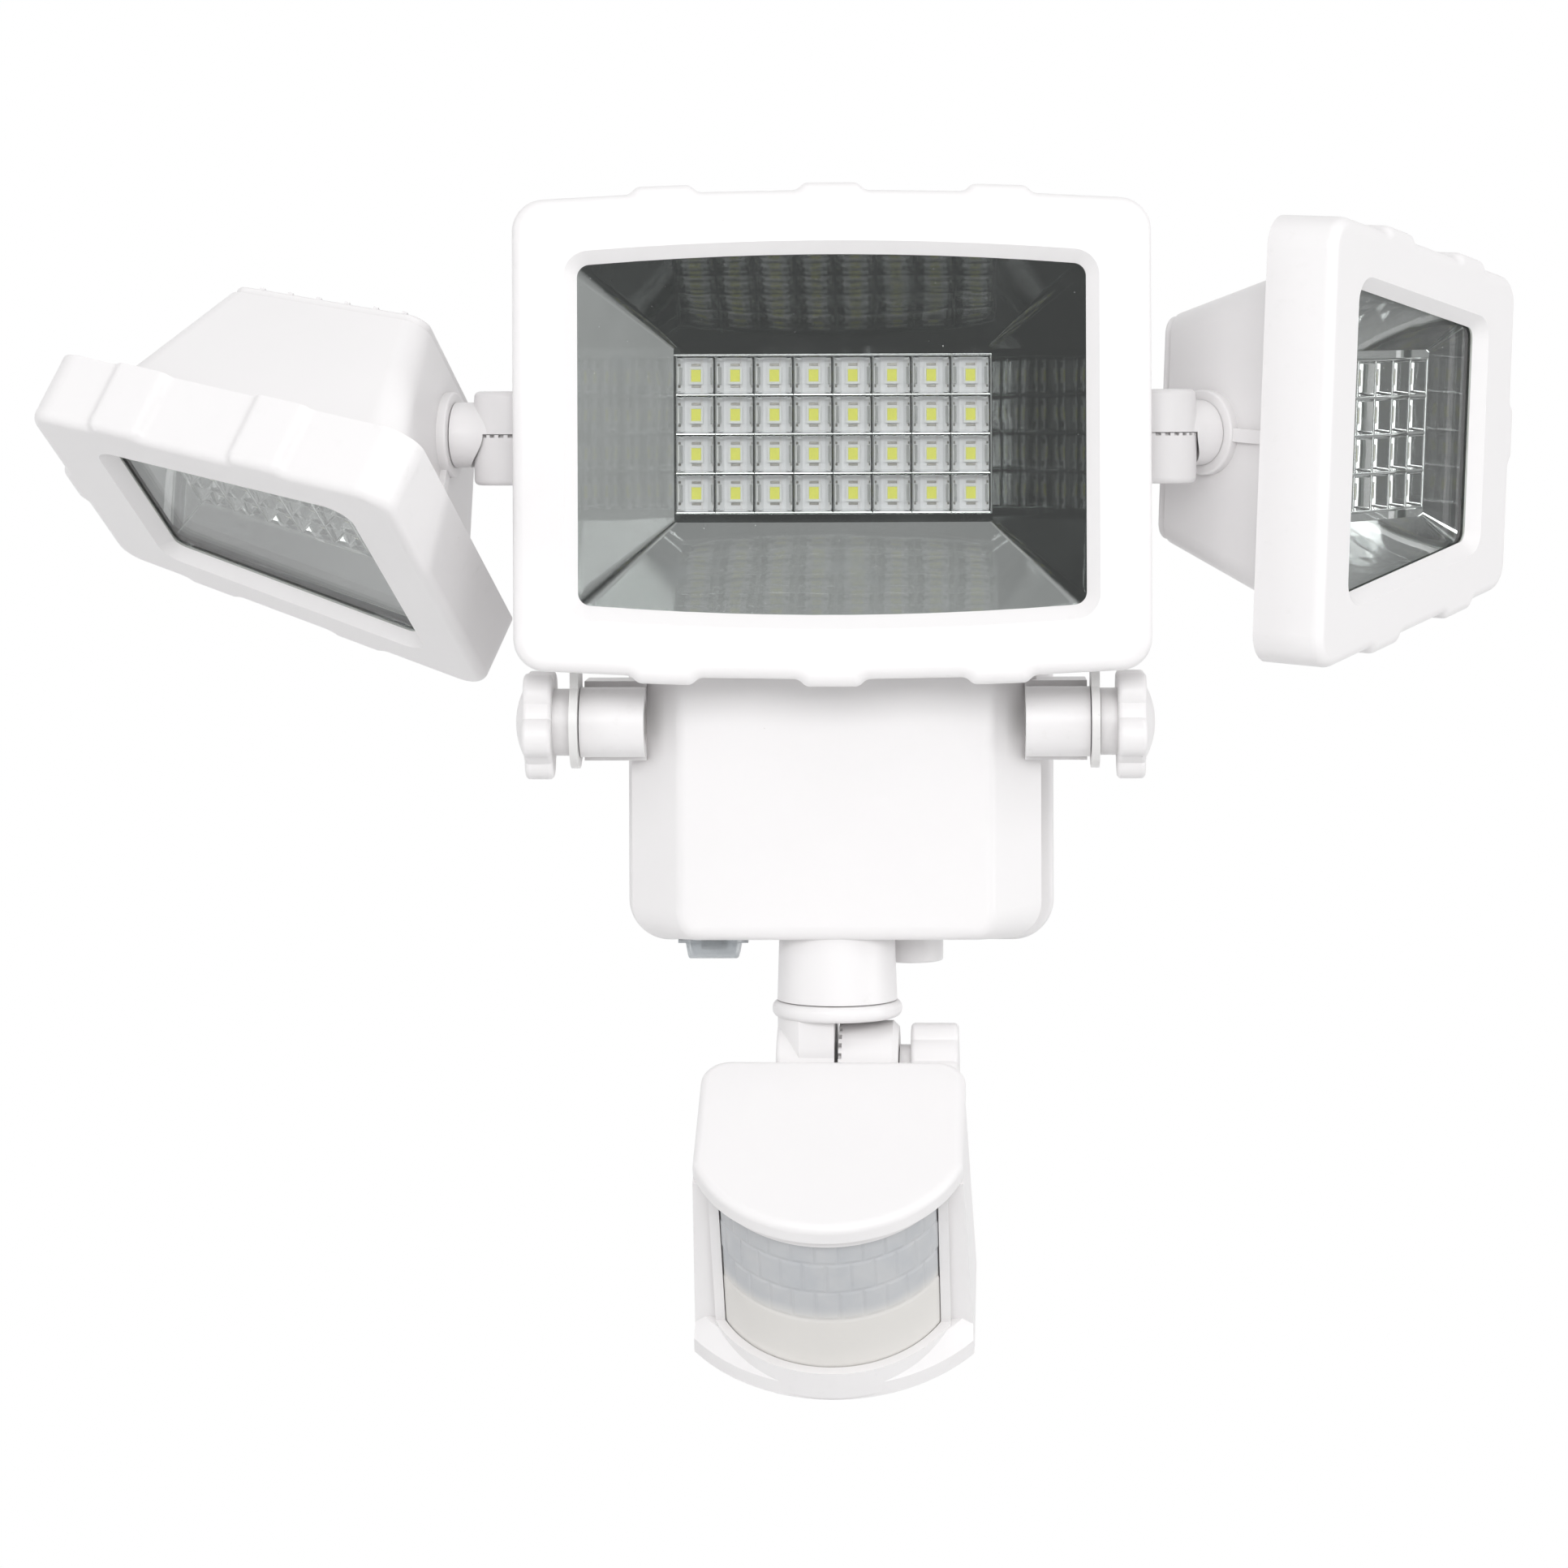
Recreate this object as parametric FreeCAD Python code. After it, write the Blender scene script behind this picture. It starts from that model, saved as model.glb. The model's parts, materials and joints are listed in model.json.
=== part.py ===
import FreeCAD, Part
import math
import os
from FreeCAD import Vector, Placement, Rotation

# A wall light with three lamps and a motion sensor.
# Millimetres. X to the right, Y towards the wall, Z up.
# The origin is the middle of the back face that lies on the wall.

# General clearances, and a length beyond every part for cutting blocks
RUN = 0.08
FACE_GAP = 0.2
LOOSE = 0.3
FAR = 200.0

# Places of the main axes
SWIVEL_STANDOFF = 68.0
LAMP_HEIGHT = 75.8
SWIVEL_OUT = 3.4
TILT_HEIGHT = 16.6
TILT_FORWARD = 4.0

# Bezel, shared by the three lamps
BEZEL_DEPTH = 15.3
BEZEL_WALL = 2.2
BEZEL_LIP = 2.6
BEZEL_EDGE_ROUND = 2.2
BEZEL_CORNER = 6.5
BUMP_FLAT = 10.6
BUMP_SLOPE = 1.6
BUMP_RISE = 1.5
BUMP_ROUND = 2.25
BUMP_PITCH = 33.6
WINDOW_BORDER = 13.0
SIDE_WINDOW_INNER = 14.2
SIDE_WINDOW_OUTER = 16.0
WINDOW_CORNER = 2.6
WINDOW_FLARE = 2.6

# Centre lamp
CENTRE_WIDTH = 128.0
CENTRE_CORNER_HEIGHT = 94.0
CENTRE_BOW = 2.0
CENTRE_CELLS = 8
CENTRE_FRONT = 30.0
CENTRE_BUMPS = 3

# Side lamp, a trapezoid that tapers outward
SIDE_WIDTH = 86.0
SIDE_INNER_HEIGHT = 93.6
SIDE_OUTER_HEIGHT = 66.8
SIDE_CELLS = 6
SIDE_BUMPS = 2
SIDE_BUMP_SHIFT = 4.5
SIDE_PIVOT_IN = 1.7
SIDE_PIVOT_BACK = 7.9

# Rear housing of a lamp
HOUSING_WALL = 2.0
HOUSING_INSET_SIDE = 7.9
HOUSING_INSET_LONG = 9.4
HOUSING_DRAFT = 17.6
HOUSING_DEPTH = 47.2
HOUSING_CORNER = 6.0
HOUSING_BACK_CORNER = 4.5
FLANGE_PLATE = 2.0
CENTRE_BACK_DROP = 10.0
SIDE_BACK_DROP_INNER = 10.4
SIDE_BACK_DROP_OUTER = 12.0
REAR_COVER_THICK = 2.0
REAR_COVER_STEP = 0.8
FIN_PITCH = 7.2
FIN_WIDTH = 1.1
FIN_RISE = 0.9
FIN_SHORT = 1.3
REAR_COVER_ROUND = 0.6

# Glass, gasket, reflector and LEDs
GASKET_THICK = 0.5
GLASS_THICK = 1.5
GLASS_LAP = 3.6
REFLECTOR_WALL = 0.9
CENTRE_GRID_TOP = 15.8
SIDE_GRID_TOP = 11.0
CELL_DEPTH = 3.1
CELL_PITCH = 8.0
CELL_RIB = 0.7
CELL_ROWS = 4
CELL_MOUTH_ROUND = 0.5
CELL_SLOT_ROUND = 0.3
CELL_SLOT_WIDE = 4.6
CELL_SLOT_TALL = 6.4
GRID_MARGIN_SIDE = 0.4
GRID_MARGIN_LONG = 1.9
TRAY_CORNER = 0.8
TRAY_MOUTH = 0.5
TRAY_BOW_SHARE = 0.02
BOARD_THICK = 1.6
BOARD_MARGIN = 4.0
BOARD_CORNER = 2.0
LED_WIDE = 2.8
LED_TALL = 3.5
LED_THICK = 0.8
LED_RIM = 0.35

# Lamp fasteners
LAMP_BOSS_RADIUS = 3.0
LAMP_BOSS_SIDE = 9.5
LAMP_BOSS_LONG = 5.9
COVER_BOSS_RADIUS = 2.7
COVER_BOSS_INSET = 4.4
COVER_BOSS_LONG = 11.0
SCREW_RADIUS = 1.2
SCREW_HEAD_RADIUS = 2.2
SCREW_HEAD_THICK = 1.3
SCREW_LENGTH = 8.0
SCREW_SLOT_WIDE = 0.7
SCREW_SLOT_DEEP = 0.7
SCREW_SLOT_REACH = 1.2

# Knuckle between the centre lamp and a side lamp
BARREL_RADIUS = 7.4
BARREL_END_RADIUS = 7.1
BARREL_EDGE = 1.2
UPPER_BARREL = 9.0
LOWER_BARREL = 10.4
TEETH_SEAM = 0.15
TOOTH_COUNT = 24
TOOTH_DEPTH = 0.55
TOOTH_RADIAL = 1.3
TOOTH_SHARE = 0.56
SWIVEL_PIN_RADIUS = 3.0
SWIVEL_PIN_RISE = 6.6
WIRE_BORE = 1.7
ARM_DEPTH = 12.0
ARM_TOP_DROP = 0.7
ARM_BOTTOM_DROP = 8.6
STEM_RADIUS = 6.75
STEM_REACH = 11.1
STEM_CLEAR = 0.4
SPIGOT_RADIUS = 4.0
SPIGOT_LENGTH = 3.0
SPIGOT_BORE = 2.4
FLANGE_ROUND = 0.5
FLANGE_SUNK = 0.6
STEM_START = 2.0
FLANGE_RADIUS = 8.9
FLANGE_REACH = 13.3
RIB_HALF = 1.4

# Pose of the side lamps, in degrees
RIGHT_SWIVEL = 39.6
RIGHT_TILT = 3.4
LEFT_SWIVEL = 8.6
LEFT_TILT = 62.8

# Steel yoke of the centre lamp
YOKE_THICK = 1.7
YOKE_EAR_RADIUS = 9.5
YOKE_ARM_WIDE = 12.0
YOKE_BAR_DROP = 36.0
YOKE_BEND = 3.0
YOKE_HOLE_SPREAD = 26.0
YOKE_PAD_HALF = 19.0
YOKE_PAD_DEEP = 11.0
YOKE_PAD_INTO = 2.0
YOKE_FOOT_ROUND = 0.01

# Tilt hubs, knobs and bolts
HUB_RADIUS = 7.2
HUB_SUNK = 3.4
HUB_REACH = 9.8
HUB_WEB_HALF = 8.2
HUB_WEB_BACK = 16.0
HUB_WEB_START = 3.5
HUB_WEB_STEP = 0.4
BOLT_RADIUS = 2.5
NUT_ACROSS = 8.0
NUT_THICK = 4.0
KNOB_LOBE_REACH = 11.75
KNOB_VALLEY = 9.3
KNOB_LOBES = 5
KNOB_THICK = 5.9
KNOB_DOME = 2.0
KNOB_NECK_RADIUS = 6.9
KNOB_NECK = 3.4
KNOB_EDGE = 1.0
KNOB_LOBE_SHARE = 0.36
KNOB_DOME_SUNK = 0.4
KNOB_DOME_STEP = 1.0

# Battery and control box
CASE_HALF_WIDTH = 42.5
CASE_HALF_HEIGHT = 29.0
CASE_FRONT_DRAW = 10.5
CASE_FRONT_DROP = 0.8
CASE_CHAMFER = 10.5
CASE_DEPTH = 56.0
CASE_CORNER = 7.5
CASE_FRONT_CORNER = 5.5
CASE_SOFT = 3.0
CASE_WALL = 2.2
CASE_BOSS_RADIUS = 3.4
CASE_BOSS_INSET = 5.0
CASE_BOSS_LONG = 14.0
CASE_GASKET = 1.0
COVER_SIDE = 3.9
COVER_LONG = 6.0
COVER_CORNER = 9.0
COVER_DEEP = 17.0
COVER_WALL = 2.4
COVER_PLATE = 3.0
COVER_LEDGE = 8.0
COVER_EDGE = 1.2
WALL_HOLE_SPACING = 60.0
WALL_HOLE_RADIUS = 2.5
CASE_SCREW_LENGTH = 14.0
HOLLOW_CORNER_CUT = 2.0

# Battery and boards
CELL_RADIUS = 9.2
CELL_LENGTH = 65.0
CELL_GAP = 0.6
HOLDER_WALL = 1.6
HOLDER_DEPTH = 9.0
BATTERY_BACK = 51.0
CELL_TIP_LONG = 2.0
CELL_TIP_SHARE = 0.35
HOLDER_SPARE = 0.5
HOLDER_FOOT_HALF = 10.0
HOLDER_FOOT_TALL = 4.0
HOLDER_PLATE = 2.0
HOLDER_PLATE_LAP = 3.0
CONTROL_BOARD_WIDE = 52.0
CONTROL_BOARD_TALL = 40.0
CONTROL_STANDOFF = 4.0
STANDOFF_RADIUS = 2.4
STANDOFF_SPREAD_X = 44.0
STANDOFF_SPREAD_Z = 32.0
CONTROL_SCREW_LENGTH = 5.5
STANDOFF_BORE = 6.6
RELAY_WIDE = 14.0
RELAY_TALL = 8.0
RELAY_RISE = 3.0
RELAY_X = -5.0
RELAY_Z = 14.0
CHIP_WIDE = 10.0
CHIP_TALL = 6.0
CHIP_RISE = 1.6
CHIP_X = -1.0
CHIP_Z = -13.0
CHOKE_RADIUS = 3.0
CHOKE_X = 14.0
CHOKE_Z = 15.0

# Switch, boot and jack socket under the box
UNDER_FORWARD = -8.0
SWITCH_X = -25.6
BOOT_TOP = 11.9
BOOT_END = 10.4
BOOT_DEEP = 8.6
BOOT_DROP = 4.1
BOOT_WALL = 0.8
BOOT_FLANGE = 1.3
BOOT_FLANGE_THICK = 0.7
BOOT_ROUND = 0.6
SLIDER_WIDE = 5.4
SLIDER_DEEP = 3.2
SLIDER_DROP = 2.6
SLIDER_RISE = 3.0
SLIDER_ROUND = 0.5
SWITCH_HALF = 7.5
SWITCH_DEEP = 4.6
SWITCH_TALL = 6.0
SLIDER_TRAVEL = 1.2
SOCKET_X = 15.4
SOCKET_RADIUS = 6.75
SOCKET_DROP = 6.8
SOCKET_FORWARD = -23.5
SOCKET_NECK = 5.0
SOCKET_TALL = 9.0
SOCKET_ROUND = 0.5
JACK_RADIUS = 2.75
JACK_DEPTH = 11.0

# Sensor stalk, arm and tilt joint
STALK_FORWARD = -8.0
STALK_RADIUS = 12.0
STALK_END_RADIUS = 12.5
STALK_LENGTH = 12.9
STALK_BORE = 9.5
COLLAR_RADIUS = 13.5
COLLAR_THICK = 3.4
COLLAR_ROUND = 1.5
ARM_SPIGOT = 8.0
ARM_BORE = 5.0
SENSOR_AXIS_DROP = 12.0
SENSOR_BARREL = 11.0
UPRIGHT_HALF = 10.0
SENSOR_ARM_LEFT = 12.3
SENSOR_SEAM = 0.2
SENSOR_EAR_START = 0.6
SENSOR_EAR_END = 12.9
SENSOR_EAR_EDGE = 1.2
SENSOR_TEETH = 30
SENSOR_TOOTH_DEEP = 1.6
SENSOR_TOOTH_LONG = 0.7
SENSOR_TOOTH_SHARE = 0.54
SENSOR_BARREL_EDGE = 1.0
SENSOR_WEB_SHARE = 0.6
WING_START = 15.4
WING_THICK = 9.9
WING_REACH = 10.5
WING_VALLEY = 8.4
WING_LOBES = 4
WING_NECK_RADIUS = 6.0
WING_EDGE = 1.0

# Sensor head, in its own frame before it is pitched down
SENSOR_PITCH = 33.0
SENSOR_HALF = 27.1
SENSOR_HALF_LOW = 28.7
SENSOR_SWIVEL = 1.8
SENSOR_CAP_TOP = 11.6
SENSOR_BACK = 11.6
SENSOR_CAP_LENGTH = 46.9
SENSOR_CAP_BACK = 8.8
SENSOR_CAP_THICK = 4.0
SENSOR_CAP_BULGE = 19.0
SENSOR_CAP_EDGE = 1.7
SENSOR_BACK_CORNER = 6.0
SENSOR_TALL = 48.8
SENSOR_WALL = 2.0
SENSOR_CHIN = 8.0
SENSOR_CHIN_BULGE = 13.3
SENSOR_CHIN_SLOPE = 3.4
CHIN_LAP = 6.0
SENSOR_FACE_BACK = 16.4
FACE_BULGE = 0.8
LENS_HALF = 21.9
LENS_RADIUS = 24.8
LENS_THICK = 0.9
LENS_INSET = 2.5
LENS_BOTTOM = 41.0
RING_HEIGHT = 2.4
RING_INSET = 1.0
RIM_WIDE = 2.1
RIM_RISE = 1.0
CHIN_EDGE = 1.0
CHIN_BACK = 1.0
CAP_LAP = 0.6
SENSOR_BOSS_RADIUS = 2.6
SENSOR_BOSS_IN = 2.0
SENSOR_BOSS_BACK = 8.0
SENSOR_SCREW_RECESS = 2.0
SENSOR_SCREW_BITE = 2.0
SENSOR_BOARD_BACK = 10.0
SENSOR_BOARD_HALF = 15.0
SENSOR_BOARD_DROP = 8.0
DIAL_RADIUS = 3.2
DIAL_TALL = 2.2
DIAL_SPREAD = 11.0
DIAL_STEM = 1.6
DIAL_STEM_RISE = 0.8
DIAL_SLOT_WIDE = 0.8
DIAL_SLOT_DEEP = 0.8
DIAL_ROUND = 0.4
PIR_RADIUS = 4.6
PIR_TALL = 4.2
PIR_WINDOW = 3.2
PIR_WINDOW_DEEP = 0.3

# Values that follow from the sizes above
ROOT_Y = -SWIVEL_STANDOFF
SWIVEL_SPREAD = CENTRE_WIDTH / 2 + SWIVEL_OUT
SIDE_PIVOT_DEPTH = HOUSING_DEPTH - SIDE_PIVOT_BACK
GASKET_BACK = BEZEL_LIP + GASKET_THICK
GLASS_BACK = GASKET_BACK + GLASS_THICK
FLANGE_FRONT = BEZEL_DEPTH - FLANGE_PLATE
DRAFT_AT_AXIS = (CENTRE_FRONT - BEZEL_DEPTH) * math.tan(math.radians(HOUSING_DRAFT))
TILT_DROP = LAMP_HEIGHT - TILT_HEIGHT
TILT_SETBACK = CENTRE_FRONT - TILT_FORWARD
HUB_INNER = CASE_HALF_WIDTH - HUB_SUNK
HUB_OUTER = CASE_HALF_WIDTH + HUB_REACH
CASE_FRONT_HALF = CASE_HALF_WIDTH - CASE_FRONT_DRAW
COVER_HALF_WIDTH = CASE_HALF_WIDTH + COVER_SIDE
COVER_HALF_HEIGHT = CASE_HALF_HEIGHT + COVER_LONG
CASE_FRONT_Y = -(CASE_DEPTH + CASE_GASKET + COVER_DEEP)
CASE_BACK_Y = CASE_FRONT_Y + CASE_DEPTH
COVER_FRONT_Y = CASE_BACK_Y + CASE_GASKET
CASE_BOTTOM = -CASE_HALF_HEIGHT
TILT_Y = ROOT_Y - TILT_FORWARD
STALK_Y = ROOT_Y - STALK_FORWARD
UNDER_Y = ROOT_Y - UNDER_FORWARD
SOCKET_Y = ROOT_Y - SOCKET_FORWARD
STALK_BOTTOM = CASE_BOTTOM - STALK_LENGTH
ARM_TOP = STALK_BOTTOM - FACE_GAP
SENSOR_AXIS_Z = ARM_TOP - COLLAR_THICK - SENSOR_AXIS_DROP
CAP_UNDER = SENSOR_CAP_TOP - SENSOR_CAP_THICK
SENSOR_FRONT = -(SENSOR_BACK + SENSOR_CAP_LENGTH)
SENSOR_LOW = SENSOR_CAP_TOP - SENSOR_TALL
SENSOR_SCREW_SEAT = SENSOR_LOW + SENSOR_SCREW_RECESS
CHIN_FRONT = SENSOR_FRONT + CHIN_BACK
FACE_Y = SENSOR_FRONT + SENSOR_FACE_BACK
LENS_FRONT = SENSOR_FRONT + LENS_INSET
LENS_MIDDLE = LENS_FRONT + LENS_RADIUS
LENS_LOW = SENSOR_CAP_TOP - LENS_BOTTOM


def vec(x, y, z):
    return Vector(x, y, z)


def edge_turns(points):
    """Directions into and out of each corner of a closed outline."""
    count = len(points)
    turns = []
    for i in range(count):
        here = Vector(points[i][0], points[i][1], 0)
        before = Vector(points[i - 1][0], points[i - 1][1], 0)
        after = Vector(points[(i + 1) % count][0], points[(i + 1) % count][1], 0)
        came = here - before
        goes = after - here
        turns.append((came.normalize(), goes.normalize()))
    return turns


def rounded_loop(points, radii, level):
    """Closed wire in the plane Y = level, with a tangent arc at each corner (x, z)."""
    starts = []
    middles = []
    ends = []
    for (x, z), radius, (came, goes) in zip(points, radii, edge_turns(points)):
        half_turn = came.getAngle(goes) / 2
        reach = radius * math.tan(half_turn)
        corner = Vector(x, z, 0)
        inward = (goes - came).normalize()
        depth = radius / math.cos(half_turn) - radius
        starts.append(corner - came * reach)
        middles.append(corner + inward * depth)
        ends.append(corner + goes * reach)

    def place(p):
        return vec(p.x, level, p.y)

    edges = []
    count = len(points)
    for i in range(count):
        edges.append(Part.Arc(place(starts[i]), place(middles[i]), place(ends[i])).toShape())
        following = starts[(i + 1) % count]
        if ends[i].distanceToPoint(following) > 1e-6:
            edges.append(Part.LineSegment(place(ends[i]), place(following)).toShape())
    return Part.Wire(edges)


def prism(points, radii, near, far):
    face = Part.Face(rounded_loop(points, radii, near))
    return face.extrude(vec(0, far - near, 0))


def frustum(near_points, near_radii, near, far_points, far_radii, far):
    loops = [rounded_loop(near_points, near_radii, near), rounded_loop(far_points, far_radii, far)]
    return Part.makeLoft(loops, True, True)


def inset(points, amounts):
    """Move each edge of an outline inward by its own amount; the corners follow."""
    count = len(points)
    lines = []
    for i in range(count):
        a = points[i]
        b = points[(i + 1) % count]
        length = math.hypot(b[0] - a[0], b[1] - a[1])
        direction = ((b[0] - a[0]) / length, (b[1] - a[1]) / length)
        shift = (-direction[1] * amounts[i], direction[0] * amounts[i])
        lines.append(((a[0] + shift[0], a[1] + shift[1]), direction))
    corners = []
    for i in range(count):
        (p, d) = lines[i - 1]
        (q, e) = lines[i]
        cross = d[0] * e[1] - d[1] * e[0]
        along = ((q[0] - p[0]) * e[1] - (q[1] - p[1]) * e[0]) / cross
        corners.append((p[0] + d[0] * along, p[1] + d[1] * along))
    return corners


def rectangle(half_x, half_z, middle_x=0.0):
    return [
        (middle_x - half_x, -half_z),
        (middle_x + half_x, -half_z),
        (middle_x + half_x, half_z),
        (middle_x - half_x, half_z),
    ]


def cylinder(radius, start, end):
    """Round bar from one point to another."""
    axis = end - start
    return Part.makeCylinder(radius, axis.Length, start, axis)


def cone(radius_start, radius_end, start, end):
    axis = end - start
    return Part.makeCone(radius_start, radius_end, axis.Length, start, axis)


def block(low, high):
    size = high - low
    return Part.makeBox(size.x, size.y, size.z, low)


def fillet_where(shape, radius, chosen):
    edges = [edge for edge in shape.Edges if chosen(edge)]
    return shape.makeFillet(radius, edges)


def in_plane(edge, axis, value):
    box = edge.BoundBox
    low = (box.XMin, box.YMin, box.ZMin)[axis]
    high = (box.XMax, box.YMax, box.ZMax)[axis]
    return abs(low - value) < 1e-4 and abs(high - value) < 1e-4


def fuse_all(shapes):
    return shapes[0].multiFuse(shapes[1:]).removeSplitter()


def machine_screw(seat, direction, length=SCREW_LENGTH, radius=SCREW_RADIUS, head=SCREW_HEAD_RADIUS):
    """Pan screw: its head lies on the seat and its shank runs along the direction."""
    shank = cylinder(radius, seat, seat + direction * length)
    top = cylinder(head, seat - direction * SCREW_HEAD_THICK, seat)
    screw = shank.fuse(top)
    reach = head * SCREW_SLOT_REACH
    slot = Part.makeBox(2 * reach, SCREW_SLOT_WIDE, 2 * SCREW_SLOT_DEEP)
    slot.translate(vec(-reach, -SCREW_SLOT_WIDE / 2, -SCREW_SLOT_DEEP))
    cross = slot.fuse(slot.rotated(vec(0, 0, 0), vec(0, 0, 1), 90))
    cross.Placement = Placement(seat - direction * SCREW_HEAD_THICK, Rotation(vec(0, 0, 1), direction))
    return screw.cut(cross)


def hexagon_bar(across, start, end):
    """Six-sided bar from one point to another."""
    radius = across / math.sqrt(3)
    axis = end - start
    turns = [k * math.pi / 3 for k in range(7)]
    points = [vec(radius * math.cos(turn), radius * math.sin(turn), 0) for turn in turns]
    bar = Part.Face(Part.makePolygon(points)).extrude(vec(0, 0, axis.Length))
    bar.Placement = Placement(start, Rotation(vec(0, 0, 1), axis))
    return bar


def lobed_knob(reach, valley, lobes, thick, edge):
    """Star knob along +X from x = 0, made of a disc with scooped valleys and round lobes."""
    lobe_radius = reach * KNOB_LOBE_SHARE
    body = cylinder(valley, vec(0, 0, 0), vec(thick, 0, 0))
    ring = reach - lobe_radius
    tips = []
    for k in range(lobes):
        turn = -math.pi / 2 + k * 2 * math.pi / lobes
        middle = vec(0, ring * math.cos(turn), ring * math.sin(turn))
        tips.append(cylinder(lobe_radius, middle, middle + vec(thick, 0, 0)))
    body = fuse_all([body] + tips)
    return fillet_where(body, edge, lambda e: in_plane(e, 0, 0.0) or in_plane(e, 0, thick))


class Lamp:
    """Outlines and depths of one lamp in its own frame: x across, y back from the bezel's face."""

    def __init__(
        self, left, right, left_height, right_height, bow, borders, grid_top, cells, bumps,
        bump_middle, end_bump,
    ):
        self.points = [
            (left, -left_height / 2),
            (right, -right_height / 2),
            (right, right_height / 2),
            (left, left_height / 2),
        ]
        self.left = left
        self.right = right
        self.bow = bow
        self.borders = borders
        self.grid_top = grid_top
        self.grid_back = grid_top + CELL_DEPTH
        self.cells = cells
        self.bumps = bumps
        self.bump_middle = bump_middle
        self.end_bump = end_bump
        self.middle = (left + right) / 2

    def bowed(self, points, radius, share=1.0):
        """Outline whose long edges swell by a share of the bow, with its corner radii."""
        if self.bow == 0:
            return points, [radius] * 4
        half = (points[1][0] - points[0][0]) / 2
        peak = 2 * self.bow * share
        slope = math.atan2(peak, half)
        swell = (half - radius - 1.0) / math.tan(slope)
        bottom = (self.middle, points[0][1] - peak)
        top = (self.middle, points[2][1] + peak)
        outline = [points[0], bottom, points[1], points[2], top, points[3]]
        radii = [radius, swell, radius, radius, swell, radius]
        return outline, radii

    def shrunk(self, side, long, radius):
        """Outline moved in by one amount at the ends and another at the long edges."""
        return self.bowed(inset(self.points, [long, side, long, side]), radius)

    def bumped_edge(self, start, end, middles):
        """Points along an edge with raised bumps, outward being right of travel."""
        length = math.hypot(end[0] - start[0], end[1] - start[1])
        along = ((end[0] - start[0]) / length, (end[1] - start[1]) / length)
        outward = (along[1], -along[0])
        bow = self.bow if abs(along[0]) > abs(along[1]) else 0.0
        points = []
        for middle in middles:
            foot = BUMP_FLAT / 2 + BUMP_SLOPE
            steps = [(-foot, 0.0), (-BUMP_FLAT / 2, BUMP_RISE), (BUMP_FLAT / 2, BUMP_RISE), (foot, 0.0)]
            for offset, rise in steps:
                s = middle + offset
                out = rise + bow * (1 - (2 * s / length - 1) ** 2)
                points.append((start[0] + along[0] * s + outward[0] * out,
                               start[1] + along[1] * s + outward[1] * out))
        return points

    def bump_places(self, start, end):
        length = math.hypot(end[0] - start[0], end[1] - start[1])
        span = abs(end[0] - start[0])
        from_left = self.bump_middle - self.left
        middles = []
        for k in range(self.bumps):
            x = from_left + (k - (self.bumps - 1) / 2) * BUMP_PITCH
            share = x / span if end[0] > start[0] else 1 - x / span
            middles.append(share * length)
        return sorted(middles)

    def bezel_outline(self):
        corners = self.points
        outline = []
        radii = []
        for i in range(4):
            start = corners[i]
            end = corners[(i + 1) % 4]
            outline.append(start)
            radii.append(BEZEL_CORNER)
            if i in (0, 2):
                places = self.bump_places(start, end)
            elif i == 1 and self.end_bump:
                places = [math.hypot(end[0] - start[0], end[1] - start[1]) / 2]
            else:
                places = []
            extra = self.bumped_edge(start, end, places)
            outline.extend(extra)
            radii.extend([BUMP_ROUND] * len(extra))
        return outline, radii

    def window(self, extra=0.0):
        """Outline of the window, grown by an extra amount all round."""
        points = inset(self.points, [border - extra for border in self.borders])
        return self.bowed(points, WINDOW_CORNER + extra)

    def floor_middle(self):
        return (self.left + self.borders[3] + self.right - self.borders[1]) / 2

    def grid(self, margin=0.0):
        half_x = self.cells * CELL_PITCH / 2 + GRID_MARGIN_SIDE + margin
        half_z = CELL_ROWS * CELL_PITCH / 2 + GRID_MARGIN_LONG + margin
        return rectangle(half_x, half_z, self.floor_middle())

    def tray_floor(self, margin=0.0):
        return self.bowed(self.grid(margin), TRAY_CORNER, TRAY_BOW_SHARE)

    def boss_places(self):
        return inset(self.points, [LAMP_BOSS_LONG, LAMP_BOSS_SIDE, LAMP_BOSS_LONG, LAMP_BOSS_SIDE])

    def cell_places(self):
        places = []
        for row in range(CELL_ROWS):
            for column in range(self.cells):
                x = self.floor_middle() + (column - (self.cells - 1) / 2) * CELL_PITCH
                z = (row - (CELL_ROWS - 1) / 2) * CELL_PITCH
                places.append((x, z))
        return places

    def housing_base(self, wall=0.0):
        amounts = [HOUSING_INSET_LONG + wall, HOUSING_INSET_SIDE + wall] * 2
        return inset(self.points, amounts)

    def housing_back(self, wall=0.0):
        run = HOUSING_DEPTH - BEZEL_DEPTH
        draw = run * math.tan(math.radians(HOUSING_DRAFT))
        base = self.housing_base()
        drops = self.back_drops()
        low_left = (base[0][0] + draw, base[0][1] + drops[0])
        low_right = (base[1][0] - draw, base[1][1] + drops[1])
        corners = [low_left, low_right, (low_right[0], -low_right[1]), (low_left[0], -low_left[1])]
        return inset(corners, [wall] * 4)

    def back_drops(self):
        """How far the long walls have come in at the back, at the left and the right end."""
        if self.bow:
            return (CENTRE_BACK_DROP, CENTRE_BACK_DROP)
        return (SIDE_BACK_DROP_INNER, SIDE_BACK_DROP_OUTER)


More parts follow.
